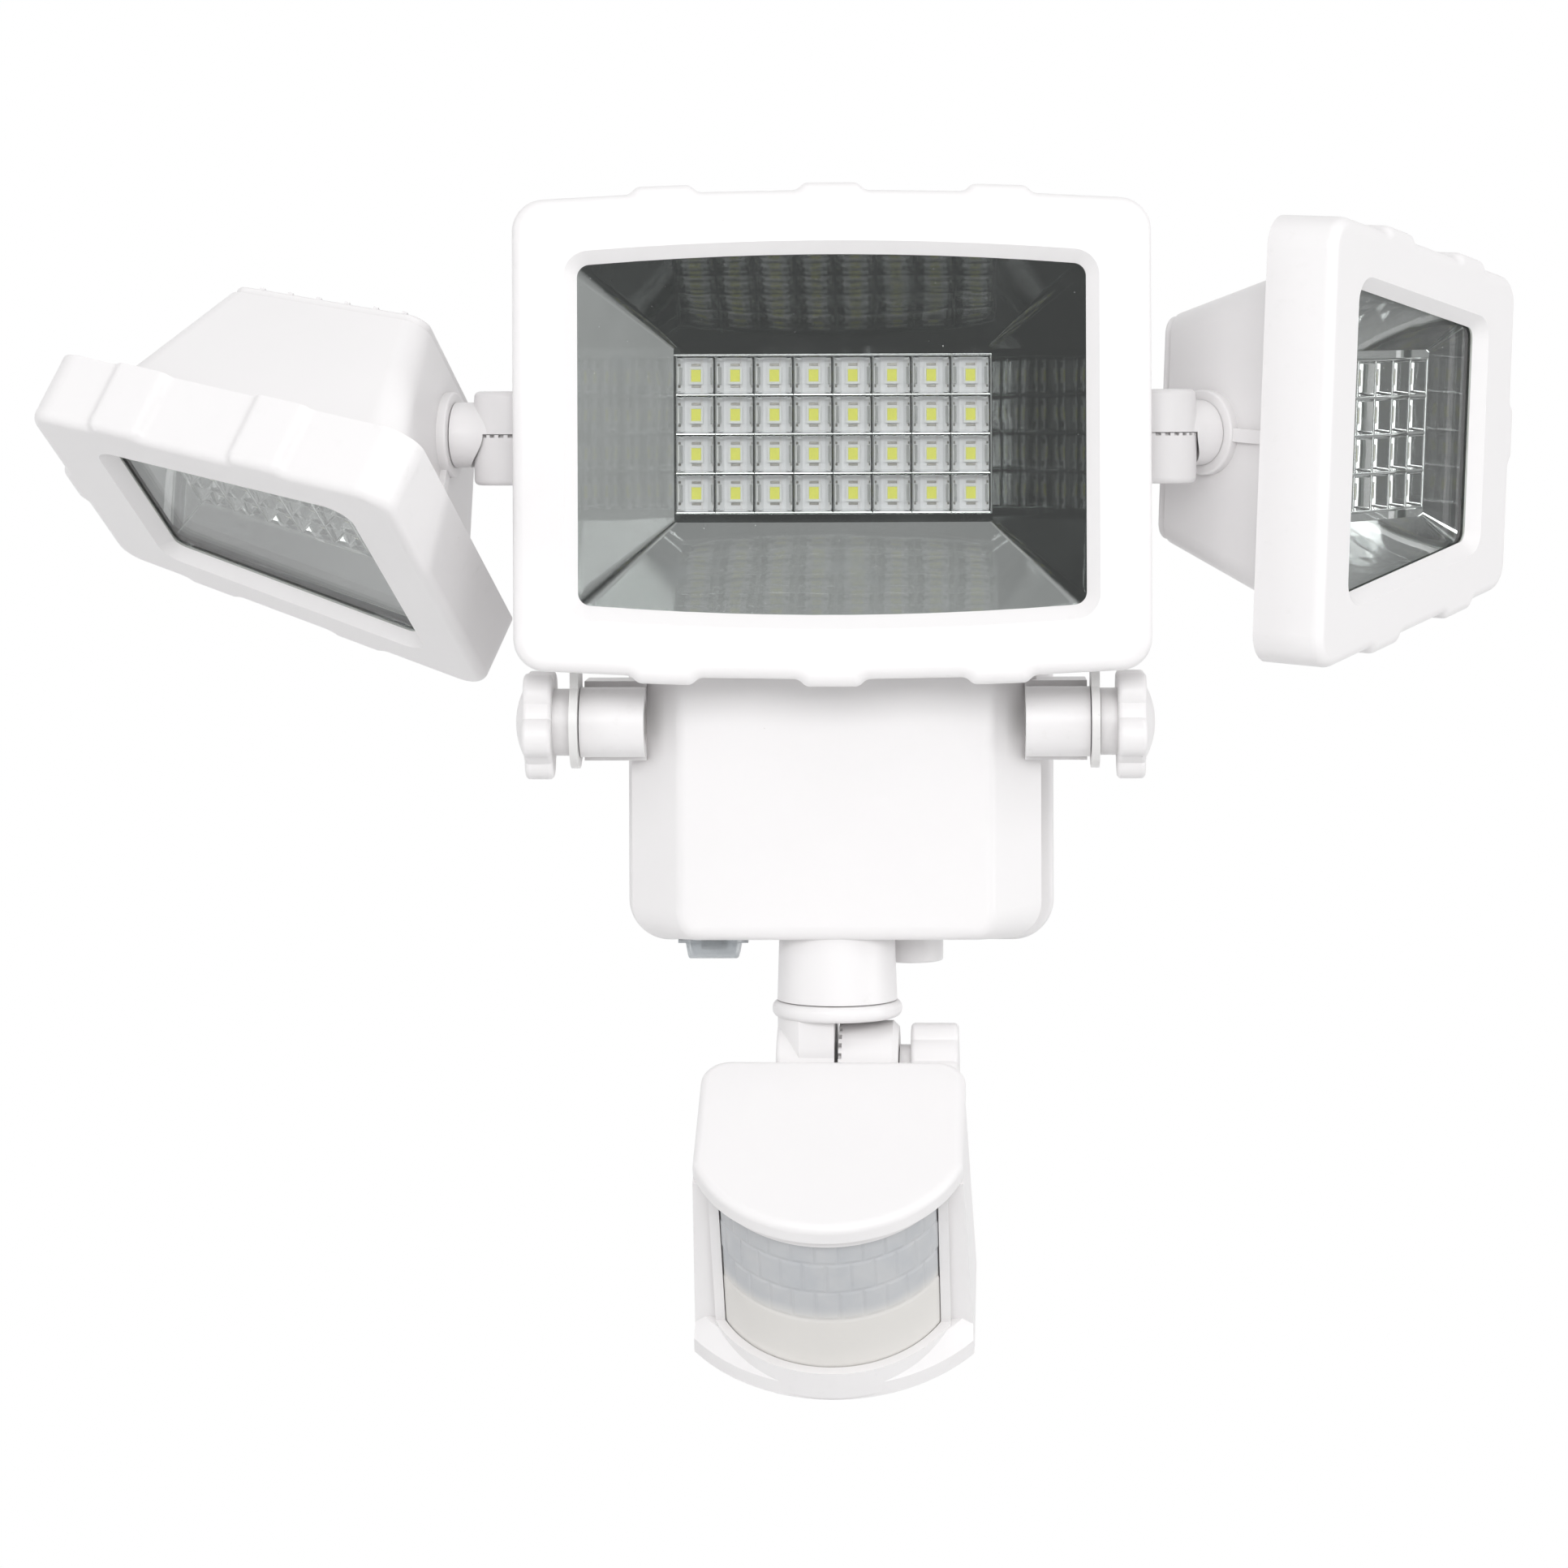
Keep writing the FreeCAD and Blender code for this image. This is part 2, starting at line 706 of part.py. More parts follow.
CENTRE = Lamp(
    -CENTRE_WIDTH / 2, CENTRE_WIDTH / 2, CENTRE_CORNER_HEIGHT, CENTRE_CORNER_HEIGHT,
    CENTRE_BOW, [WINDOW_BORDER] * 4, CENTRE_GRID_TOP, CENTRE_CELLS, CENTRE_BUMPS, 0.0, False,
)
SIDE = Lamp(
    0.0, SIDE_WIDTH, SIDE_INNER_HEIGHT, SIDE_OUTER_HEIGHT,
    0.0, [WINDOW_BORDER, SIDE_WINDOW_OUTER, WINDOW_BORDER, SIDE_WINDOW_INNER],
    SIDE_GRID_TOP, SIDE_CELLS, SIDE_BUMPS, SIDE_WIDTH / 2 + SIDE_BUMP_SHIFT, True,
)


def make_bezel(lamp):
    """Front frame: bumped rim, flared window, hollow back with four screw bosses."""
    points, radii = lamp.bezel_outline()
    body = prism(points, radii, 0.0, BEZEL_DEPTH)
    body = fillet_where(body, BEZEL_EDGE_ROUND, lambda e: in_plane(e, 1, 0.0))
    hollow_points, hollow_radii = lamp.shrunk(BEZEL_WALL, BEZEL_WALL, BEZEL_CORNER - BEZEL_WALL)
    hollow = prism(hollow_points, hollow_radii, BEZEL_LIP, BEZEL_DEPTH + 1)
    near_points, near_radii = lamp.window(WINDOW_FLARE)
    far_points, far_radii = lamp.window()
    opening = frustum(near_points, near_radii, 0.0, far_points, far_radii, BEZEL_LIP)
    past = prism(near_points, near_radii, -1.0, 0.0)
    bezel = body.cut(hollow)
    for x, z in lamp.boss_places():
        bezel = bezel.fuse(cylinder(LAMP_BOSS_RADIUS, vec(x, BEZEL_LIP - 1, z), vec(x, FLANGE_FRONT, z)))
    for x, z in lamp.boss_places():
        deep = vec(x, FLANGE_FRONT - SCREW_LENGTH, z)
        bezel = bezel.cut(cylinder(SCREW_RADIUS, deep, vec(x, BEZEL_DEPTH, z)))
    return bezel.cut(opening.fuse(past)).removeSplitter()


def make_gasket(lamp):
    points, radii = lamp.window(GLASS_LAP)
    ring = prism(points, radii, BEZEL_LIP, GASKET_BACK)
    hole_points, hole_radii = lamp.window(FACE_GAP)
    return ring.cut(prism(hole_points, hole_radii, BEZEL_LIP - 1, GASKET_BACK + 1))


def make_glass(lamp):
    points, radii = lamp.window(GLASS_LAP)
    return prism(points, radii, GASKET_BACK, GLASS_BACK)


def cell_cutter(lamp):
    """Tapered hole of one reflector cell, at the origin, open towards -Y."""
    mouth = CELL_PITCH / 2 - CELL_RIB / 2
    near = rectangle(mouth, mouth)
    far = rectangle(CELL_SLOT_WIDE / 2, CELL_SLOT_TALL / 2)
    round_near = [CELL_MOUTH_ROUND] * 4
    round_far = [CELL_SLOT_ROUND] * 4
    return frustum(near, round_near, lamp.grid_top - 0.001, far, round_far, lamp.grid_back + 0.001)


def make_reflector(lamp):
    """Chromed tray: flange under the glass, sloping walls and a grid of tapered cells."""
    flange = prism(*lamp.window(GLASS_LAP), GLASS_BACK, GLASS_BACK + REFLECTOR_WALL)
    mouth = lamp.window(TRAY_MOUTH)
    mouth_out = lamp.window(TRAY_MOUTH + REFLECTOR_WALL)
    floor = lamp.tray_floor()
    floor_out = lamp.tray_floor(REFLECTOR_WALL)
    outer = frustum(*mouth_out, GLASS_BACK, *floor_out, lamp.grid_top + REFLECTOR_WALL)
    slab = prism(*floor_out, lamp.grid_top, lamp.grid_back)
    inner = frustum(*mouth, GLASS_BACK, *floor, lamp.grid_top)
    tray = fuse_all([flange, outer, slab]).cut(inner)
    one = cell_cutter(lamp)
    cutters = []
    for x, z in lamp.cell_places():
        cutters.append(one.translated(vec(x, 0, z)))
    return tray.cut(cutters)


def make_led_board(lamp):
    points = lamp.grid(BOARD_MARGIN)
    return prism(points, [BOARD_CORNER] * 4, lamp.grid_back, lamp.grid_back + BOARD_THICK)


def make_leds(lamp):
    """Surface LEDs on the board's face, one in each cell."""
    low = vec(-LED_WIDE / 2, lamp.grid_back - LED_THICK, -LED_TALL / 2)
    high = vec(LED_WIDE / 2, lamp.grid_back, LED_TALL / 2)
    body = block(low, high)
    edge = vec(LED_RIM, 0, LED_RIM)
    face_low = low + edge
    face_high = vec(high.x - LED_RIM, low.y + LED_RIM / 2, high.z - LED_RIM)
    body = body.cut(block(face_low + vec(0, -1, 0), face_high))
    solids = [body.translated(vec(x, 0, z)) for x, z in lamp.cell_places()]
    return Part.makeCompound(solids)


def lamp_shell(lamp):
    """Frustum housing, open at both ends, with the plate that closes the bezel's back."""
    rim = BEZEL_WALL + FACE_GAP
    plate_points, plate_radii = lamp.shrunk(rim, rim, BEZEL_CORNER - rim)
    plate = prism(plate_points, plate_radii, FLANGE_FRONT, BEZEL_DEPTH)
    base = [HOUSING_CORNER] * 4
    back = [HOUSING_BACK_CORNER] * 4
    outer = frustum(lamp.housing_base(), base, BEZEL_DEPTH - 0.5, lamp.housing_back(), back, HOUSING_DEPTH)
    base_in = [HOUSING_CORNER - HOUSING_WALL] * 4
    back_in = [HOUSING_BACK_CORNER - HOUSING_WALL] * 4
    inner = frustum(
        lamp.housing_base(HOUSING_WALL), base_in, FLANGE_FRONT - 0.5,
        lamp.housing_back(HOUSING_WALL), back_in, HOUSING_DEPTH + 0.5,
    )
    shell = plate.fuse(outer)
    bosses = []
    for x, z in lamp_cover_places(lamp):
        foot = vec(x, HOUSING_DEPTH - COVER_BOSS_LONG, z)
        bosses.append(cylinder(COVER_BOSS_RADIUS, foot, vec(x, HOUSING_DEPTH, z)))
    kept = fuse_all(bosses).common(outer)
    shell = shell.cut(inner).fuse(kept)
    for x, z in lamp_cover_places(lamp):
        deep = vec(x, HOUSING_DEPTH - SCREW_LENGTH, z)
        shell = shell.cut(cylinder(SCREW_RADIUS, deep, vec(x, HOUSING_DEPTH + 1, z)))
    for x, z in lamp.boss_places():
        shell = shell.cut(cylinder(SCREW_RADIUS, vec(x, FLANGE_FRONT - 1, z), vec(x, BEZEL_DEPTH + 1, z)))
    return shell.removeSplitter()


def lamp_cover_places(lamp):
    return inset(lamp.housing_back(), [COVER_BOSS_INSET] * 4)


def make_centre_housing():
    """Shell of the centre lamp with its swivel barrels, arms and yoke pad."""
    shell = lamp_shell(CENTRE)
    axis_y = CENTRE_FRONT
    adds = []
    cuts = []
    for side in (-1, 1):
        x = side * SWIVEL_SPREAD
        low = -LOWER_BARREL
        barrel = cone(BARREL_END_RADIUS, BARREL_RADIUS, vec(x, axis_y, low), vec(x, axis_y, 0))
        barrel = fillet_where(barrel, BARREL_EDGE, lambda e: in_plane(e, 2, low))
        for k in range(TOOTH_COUNT):
            barrel = barrel.cut(tooth_gap(x, axis_y, k))
        wall_x = side * (CENTRE_WIDTH / 2 - HOUSING_INSET_SIDE - DRAFT_AT_AXIS - HOUSING_WALL / 2)
        near = min(wall_x, x)
        far = max(wall_x, x)
        arm = block(
            vec(near, axis_y - ARM_DEPTH / 2, -ARM_BOTTOM_DROP),
            vec(far, axis_y + ARM_DEPTH / 2, -ARM_TOP_DROP),
        )
        pin = cylinder(SWIVEL_PIN_RADIUS, vec(x, axis_y, -1), vec(x, axis_y, SWIVEL_PIN_RISE))
        adds += [barrel, arm, pin]
        wire_end = vec(x, axis_y, SWIVEL_PIN_RISE + 1)
        cuts.append(cylinder(WIRE_BORE, vec(x, axis_y, -LOWER_BARREL / 2), wire_end))
    pad_half = YOKE_PAD_DEEP / 2
    pad_top = -CENTRE_CORNER_HEIGHT / 2 + HOUSING_INSET_LONG + HOUSING_WALL + YOKE_PAD_INTO
    pad = block(
        vec(-YOKE_PAD_HALF, TILT_SETBACK - pad_half, -YOKE_BAR_DROP),
        vec(YOKE_PAD_HALF, TILT_SETBACK + pad_half, pad_top),
    )
    shell = fuse_all([shell, pad] + adds)
    for x in (-YOKE_HOLE_SPREAD / 2, YOKE_HOLE_SPREAD / 2):
        deep = vec(x, TILT_SETBACK, -YOKE_BAR_DROP + SCREW_LENGTH)
        cuts.append(cylinder(SCREW_RADIUS, vec(x, TILT_SETBACK, -YOKE_BAR_DROP - 1), deep))
    return shell.cut(cuts)


def tooth_gap(x, y, number):
    """One small notch in the rim of the lower barrel."""
    pitch = 2 * math.pi * BARREL_RADIUS / TOOTH_COUNT
    half = pitch * TOOTH_SHARE / 2
    notch = block(vec(BARREL_RADIUS - TOOTH_RADIAL, -half, -TOOTH_DEPTH), vec(BARREL_RADIUS + 1, half, 1))
    notch.rotate(vec(0, 0, 0), vec(0, 0, 1), (number + 0.5) * 360 / TOOTH_COUNT)
    return notch.translated(vec(x, y, 0))


def stem_to_lamp():
    """Placement from the stem frame (x along the stem from the pivot) to the side lamp's frame."""
    turn = Rotation(vec(0, 0, 1), -HOUSING_DRAFT)
    return Placement(vec(SIDE_PIVOT_IN, SIDE_PIVOT_DEPTH, 0), turn)


def make_side_housing():
    """Shell of a side lamp with the flange and spigot that turn on the knuckle's stem."""
    shell = lamp_shell(SIDE)
    into = FLANGE_REACH + FLANGE_SUNK
    flange_start = STEM_REACH + FACE_GAP
    flange = cylinder(FLANGE_RADIUS, vec(flange_start, 0, 0), vec(into, 0, 0))
    flange = fillet_where(flange, FLANGE_ROUND, lambda e: in_plane(e, 0, flange_start))
    spigot_start = STEM_REACH - SPIGOT_LENGTH
    spigot = cylinder(SPIGOT_RADIUS, vec(spigot_start, 0, 0), vec(into, 0, 0))
    rib_end = -(SIDE_PIVOT_DEPTH - BEZEL_DEPTH) / math.cos(math.radians(HOUSING_DRAFT))
    rib_start = flange_start + FLANGE_SUNK
    rib = block(vec(rib_start, rib_end, -RIB_HALF), vec(into, -FLANGE_RADIUS + 1, RIB_HALF))
    adds = [flange, spigot, rib]
    for add in adds:
        add.Placement = stem_to_lamp()
    bore = cylinder(SPIGOT_BORE, vec(spigot_start - 1, 0, 0), vec(into + HOUSING_WALL + 2, 0, 0))
    bore.Placement = stem_to_lamp()
    clear = block(vec(-FAR, -FAR, -FAR), vec(FAR, BEZEL_DEPTH, FAR))
    housing = fuse_all([shell, adds[0], adds[1], adds[2].cut(clear)])
    return housing.cut(bore)


def make_rear_cover(lamp):
    """Stepped plate on the housing's back, with low cooling fins and countersunk screw seats."""
    outline = inset(lamp.housing_back(), [REAR_COVER_STEP] * 4)
    back = HOUSING_DEPTH + REAR_COVER_THICK
    plate = prism(outline, [HOUSING_BACK_CORNER - REAR_COVER_STEP] * 4, HOUSING_DEPTH, back)
    plate = fillet_where(plate, REAR_COVER_ROUND, lambda e: in_plane(e, 1, back))
    left = outline[0][0]
    right = outline[1][0]
    count = int((right - left - 2 * HOUSING_BACK_CORNER) / FIN_PITCH) + 1
    fins = []
    for k in range(count):
        x = (left + right) / 2 + (k - (count - 1) / 2) * FIN_PITCH
        share = (x - left) / (right - left)
        half = -(outline[0][1] + (outline[1][1] - outline[0][1]) * share) - FIN_SHORT
        near = vec(x - FIN_WIDTH / 2, back - 1, -half)
        fins.append(block(near, vec(x + FIN_WIDTH / 2, back + FIN_RISE, half)))
    cover = fuse_all([plate] + fins)
    for x, z in lamp_cover_places(lamp):
        cover = cover.cut(cylinder(SCREW_RADIUS, vec(x, HOUSING_DEPTH - 1, z), vec(x, back + 2, z)))
        seat = back - SCREW_HEAD_THICK
        cover = cover.cut(cylinder(SCREW_HEAD_RADIUS + RUN, vec(x, seat, z), vec(x, back + 2, z)))
    return cover


def make_lamp_screws(lamp, others=()):
    """Four screws through the housing plate, four that hold the rear cover, and any others."""
    screws = list(others)
    forward = vec(0, -1, 0)
    for x, z in lamp.boss_places():
        screws.append(machine_screw(vec(x, BEZEL_DEPTH, z), forward))
    seat = HOUSING_DEPTH + REAR_COVER_THICK - SCREW_HEAD_THICK
    for x, z in lamp_cover_places(lamp):
        screws.append(machine_screw(vec(x, seat, z), forward))
    return Part.makeCompound(screws)


def make_knuckle():
    """Upper swivel barrel with its stem along +X, in the pivot's frame."""
    barrel = cone(BARREL_RADIUS, BARREL_END_RADIUS, vec(0, 0, TEETH_SEAM), vec(0, 0, UPPER_BARREL))
    barrel = fillet_where(barrel, BARREL_EDGE, lambda e: in_plane(e, 2, UPPER_BARREL))
    stem = cylinder(STEM_RADIUS, vec(STEM_START, 0, 0), vec(STEM_REACH, 0, 0))
    room = cylinder(BARREL_RADIUS + STEM_CLEAR, vec(0, 0, -STEM_RADIUS - 1), vec(0, 0, TEETH_SEAM))
    knuckle = barrel.fuse(stem.cut(room))
    pin_bore = cylinder(SWIVEL_PIN_RADIUS + RUN, vec(0, 0, -1), vec(0, 0, SWIVEL_PIN_RISE + FACE_GAP))
    seat_start = STEM_REACH - SPIGOT_LENGTH - FACE_GAP
    spigot_bore = cylinder(SPIGOT_RADIUS + RUN, vec(seat_start, 0, 0), vec(STEM_REACH + 1, 0, 0))
    return knuckle.cut(pin_bore.fuse(spigot_bore)).removeSplitter()


def make_yoke():
    """Bent steel strap: a bar under the housing and an ear down each side to the tilt axis."""
    reach = TILT_DROP
    outer = HUB_OUTER + FACE_GAP + YOKE_THICK
    half = YOKE_ARM_WIDE / 2
    low = -reach
    top = -YOKE_BAR_DROP
    loop = [(-outer, low), (outer, low), (outer, top), (-outer, top)]
    body = prism(loop, [YOKE_FOOT_ROUND] * 2 + [YOKE_BEND] * 2, TILT_SETBACK - half, TILT_SETBACK + half)
    inner_half = outer - YOKE_THICK
    under = top - YOKE_THICK
    hollow_loop = [(-inner_half, low - 1), (inner_half, low - 1), (inner_half, under), (-inner_half, under)]
    soft = [YOKE_FOOT_ROUND] * 2 + [YOKE_BEND - YOKE_THICK] * 2
    hollow = prism(hollow_loop, soft, TILT_SETBACK - half - 1, TILT_SETBACK + half + 1)
    yoke = body.cut(hollow)
    for side in (-1, 1):
        start = vec(side * inner_half, TILT_SETBACK, -reach)
        end = vec(side * outer, TILT_SETBACK, -reach)
        yoke = yoke.fuse(cylinder(YOKE_EAR_RADIUS, start, end))
    for side in (-1, 1):
        start = vec(side * (inner_half - 1), TILT_SETBACK, -reach)
        end = vec(side * (outer + 1), TILT_SETBACK, -reach)
        yoke = yoke.cut(cylinder(BOLT_RADIUS + RUN, start, end))
        x = side * YOKE_HOLE_SPREAD / 2
        start = vec(x, TILT_SETBACK, under - 1)
        end = vec(x, TILT_SETBACK, top + 1)
        yoke = yoke.cut(cylinder(SCREW_RADIUS, start, end))
    return yoke.removeSplitter()


def yoke_screws():
    screws = []
    for side in (-1, 1):
        seat = vec(side * YOKE_HOLE_SPREAD / 2, TILT_SETBACK, -YOKE_BAR_DROP - YOKE_THICK)
        screws.append(machine_screw(seat, vec(0, 0, 1)))
    return screws


def make_clamp_knob():
    """Tilt knob along +X: neck on the yoke's ear, lobes and a domed end."""
    neck = cylinder(KNOB_NECK_RADIUS, vec(0, 0, 0), vec(KNOB_NECK + 0.5, 0, 0))
    lobes = lobed_knob(KNOB_LOBE_REACH, KNOB_VALLEY, KNOB_LOBES, KNOB_THICK, KNOB_EDGE)
    lobes.translate(vec(KNOB_NECK, 0, 0))
    base = KNOB_NECK + KNOB_THICK - KNOB_DOME_SUNK
    chord = KNOB_VALLEY - KNOB_DOME_STEP
    rise = KNOB_DOME + KNOB_DOME_SUNK
    ball = (chord ** 2 + rise ** 2) / (2 * rise)
    dome = Part.makeSphere(ball, vec(base + rise - ball, 0, 0))
    dome = dome.common(block(vec(base, -FAR, -FAR), vec(FAR, FAR, FAR)))
    knob = fuse_all([neck, lobes, dome])
    return knob.cut(cylinder(BOLT_RADIUS, vec(-1, 0, 0), vec(KNOB_NECK + KNOB_THICK / 2, 0, 0)))


def make_clamp_bolt():
    """Threaded bar from inside the knob to the captive nut, along X in the knob's frame."""
    start = -(FACE_GAP + YOKE_THICK + FACE_GAP + HUB_OUTER - HUB_INNER)
    return cylinder(BOLT_RADIUS, vec(start, 0, 0), vec(KNOB_NECK + KNOB_THICK / 2, 0, 0))


def make_nut(across=NUT_ACROSS, thick=NUT_THICK):
    nut = hexagon_bar(across, vec(0, 0, 0), vec(thick, 0, 0))
    return nut.cut(cylinder(BOLT_RADIUS + RUN / 2, vec(-1, 0, 0), vec(thick + 1, 0, 0)))


def case_body(wall=0.0):
    """Box with chamfered ends towards the front; a wall makes the matching hollow."""
    full = rectangle(CASE_HALF_WIDTH - wall, CASE_HALF_HEIGHT - wall)
    front = rectangle(CASE_FRONT_HALF - wall, CASE_HALF_HEIGHT - CASE_FRONT_DROP - wall)
    corner = [CASE_CORNER - wall] * 4
    front_corner = [CASE_FRONT_CORNER - wall] * 4
    start = CASE_FRONT_Y + wall
    shoulder = CASE_FRONT_Y + CASE_CHAMFER + wall * 0.5
    nose = frustum(front, front_corner, start, full, corner, shoulder)
    back = CASE_BACK_Y + (1.0 if wall else 0.0)
    trunk = prism(full, corner, shoulder, back)
    return nose.fuse(trunk).removeSplitter()


def case_boss_places():
    return rectangle(CASE_HALF_WIDTH - CASE_BOSS_INSET, CASE_HALF_HEIGHT - CASE_BOSS_INSET)


def make_front_case():
    """Front of the box with tilt hubs, sensor stalk and inner bosses."""
    outer = case_body()
    outer = fillet_where(outer, CASE_SOFT, lambda e: in_plane(e, 1, CASE_FRONT_Y))
    hollow = case_body(CASE_WALL)
    adds = []
    for side in (-1, 1):
        hub_start = vec(side * HUB_INNER, TILT_Y, TILT_HEIGHT)
        hub = cylinder(HUB_RADIUS, hub_start, vec(side * HUB_OUTER, TILT_Y, TILT_HEIGHT))
        ends = sorted([side * HUB_INNER, side * (HUB_OUTER - HUB_WEB_STEP)])
        low = vec(ends[0], TILT_Y + HUB_WEB_START, TILT_HEIGHT - HUB_WEB_HALF)
        high = vec(ends[1], TILT_Y + HUB_WEB_BACK, TILT_HEIGHT + HUB_WEB_HALF)
        adds += [hub, block(low, high)]
    top = vec(0, STALK_Y, CASE_BOTTOM + CASE_WALL)
    adds.append(cone(STALK_RADIUS, STALK_END_RADIUS, top, vec(0, STALK_Y, STALK_BOTTOM)))
    body = fuse_all([outer] + adds).cut(hollow)
    bosses = []
    for x, z in case_boss_places():
        foot = vec(x, CASE_BACK_Y - CASE_BOSS_LONG, z)
        bosses.append(cylinder(CASE_BOSS_RADIUS, foot, vec(x, CASE_BACK_Y, z)))
    for x, z in rectangle(STANDOFF_SPREAD_X / 2, STANDOFF_SPREAD_Z / 2):
        foot = CASE_FRONT_Y + CASE_WALL
        tip = vec(x, foot + CONTROL_STANDOFF, z)
        bosses.append(cylinder(STANDOFF_RADIUS, vec(x, foot - CASE_WALL / 2, z), tip))
    body = fuse_all([body] + bosses)
    cuts = []
    for x, z in case_boss_places():
        deep = vec(x, CASE_BACK_Y - CASE_SCREW_LENGTH, z)
        cuts.append(cylinder(SCREW_RADIUS, deep, vec(x, CASE_BACK_Y + 1, z)))
    for x, z in rectangle(STANDOFF_SPREAD_X / 2, STANDOFF_SPREAD_Z / 2):
        tip = CASE_FRONT_Y + CASE_WALL + CONTROL_STANDOFF + 1
        cuts.append(cylinder(SCREW_RADIUS, vec(x, tip - STANDOFF_BORE, z), vec(x, tip, z)))
    for side in (-1, 1):
        outside = vec(side * (HUB_OUTER + 1), TILT_Y, TILT_HEIGHT)
        inside = vec(side * (HUB_INNER - 1), TILT_Y, TILT_HEIGHT)
        pocket_end = vec(side * (HUB_INNER + NUT_THICK), TILT_Y, TILT_HEIGHT)
        cuts.append(cylinder(BOLT_RADIUS + RUN, inside, outside))
        cuts.append(hexagon_bar(NUT_ACROSS + 2 * RUN, inside, pocket_end))
    floor = CASE_BOTTOM + CASE_WALL
    cuts.append(cylinder(STALK_BORE, vec(0, STALK_Y, STALK_BOTTOM - 1), vec(0, STALK_Y, floor + 1)))
    socket_low = vec(SOCKET_X, SOCKET_Y, CASE_BOTTOM - 1)
    cuts.append(cylinder(SOCKET_NECK + FACE_GAP, socket_low, vec(SOCKET_X, SOCKET_Y, floor + 1)))
    cuts.append(switch_slot(CASE_BOTTOM - 1, floor + 1))
    return body.cut(cuts)


def switch_slot(low, high):
    """Room that the switch slider moves in, between two levels."""
    half = SLIDER_WIDE / 2 + SLIDER_TRAVEL + LOOSE
    deep = SLIDER_DEEP / 2 + LOOSE
    return block(vec(SWITCH_X - half, UNDER_Y - deep, low), vec(SWITCH_X + half, UNDER_Y + deep, high))


def case_mouth(near, far):
    """Opening between the case and its rear cover."""
    inner = rectangle(CASE_HALF_WIDTH - COVER_LEDGE, CASE_HALF_HEIGHT - COVER_LEDGE)
    return prism(inner, [CASE_CORNER - HOLLOW_CORNER_CUT] * 4, near, far)


def make_case_gasket():
    outline = rectangle(CASE_HALF_WIDTH, CASE_HALF_HEIGHT)
    ring = prism(outline, [CASE_CORNER] * 4, CASE_BACK_Y, COVER_FRONT_Y)
    ring = ring.cut(case_mouth(CASE_BACK_Y - 1, COVER_FRONT_Y + 1))
    for x, z in case_boss_places():
        ring = ring.cut(cylinder(SCREW_RADIUS, vec(x, CASE_BACK_Y - 1, z), vec(x, COVER_FRONT_Y + 1, z)))
    return ring


def make_rear_cover_box():
    """Wider tray behind the case; its back plate lies on the wall and has two screw holes."""
    outline = rectangle(COVER_HALF_WIDTH, COVER_HALF_HEIGHT)
    tray = prism(outline, [COVER_CORNER] * 4, COVER_FRONT_Y, 0.0)
    tray = fillet_where(tray, COVER_EDGE, lambda e: in_plane(e, 1, COVER_FRONT_Y))
    room = rectangle(COVER_HALF_WIDTH - COVER_WALL, COVER_HALF_HEIGHT - COVER_WALL)
    ledge = COVER_FRONT_Y + COVER_WALL
    tray = tray.cut(prism(room, [COVER_CORNER - COVER_WALL] * 4, ledge, -COVER_PLATE))
    tray = tray.cut(case_mouth(COVER_FRONT_Y - 1, ledge + 1))
    for x, z in case_boss_places():
        tray = tray.cut(cylinder(SCREW_RADIUS, vec(x, COVER_FRONT_Y - 1, z), vec(x, ledge + 1, z)))
    for x in (-WALL_HOLE_SPACING / 2, WALL_HOLE_SPACING / 2):
        tray = tray.cut(cylinder(WALL_HOLE_RADIUS, vec(x, -COVER_PLATE - 1, 0), vec(x, 1, 0)))
    return tray


def make_case_screws():
    screws = []
    seat = COVER_FRONT_Y + COVER_WALL
    for x, z in case_boss_places():
        screws.append(machine_screw(vec(x, seat, z), vec(0, -1, 0), length=CASE_SCREW_LENGTH))
    return Part.makeCompound(screws)


def battery_places():
    step = CELL_RADIUS * 2 + CELL_GAP
    back = CASE_FRONT_Y + BATTERY_BACK - CELL_RADIUS - HOLDER_WALL
    places = []
    for row in (-0.5, 0.5):
        for layer in (0, 1):
            places.append((back - layer * step, row * step))
    return places


def make_battery_cells():
    """Four round cells across the case, each with its raised contact."""
    cells = []
    for y, z in battery_places():
        shoulder = vec(CELL_LENGTH / 2 - CELL_TIP_LONG, y, z)
        can = cylinder(CELL_RADIUS, vec(-CELL_LENGTH / 2, y, z), shoulder)
        tip = cylinder(CELL_RADIUS * CELL_TIP_SHARE, shoulder, vec(CELL_LENGTH / 2, y, z))
        cells.append(can.fuse(tip))
    return Part.makeCompound(cells)


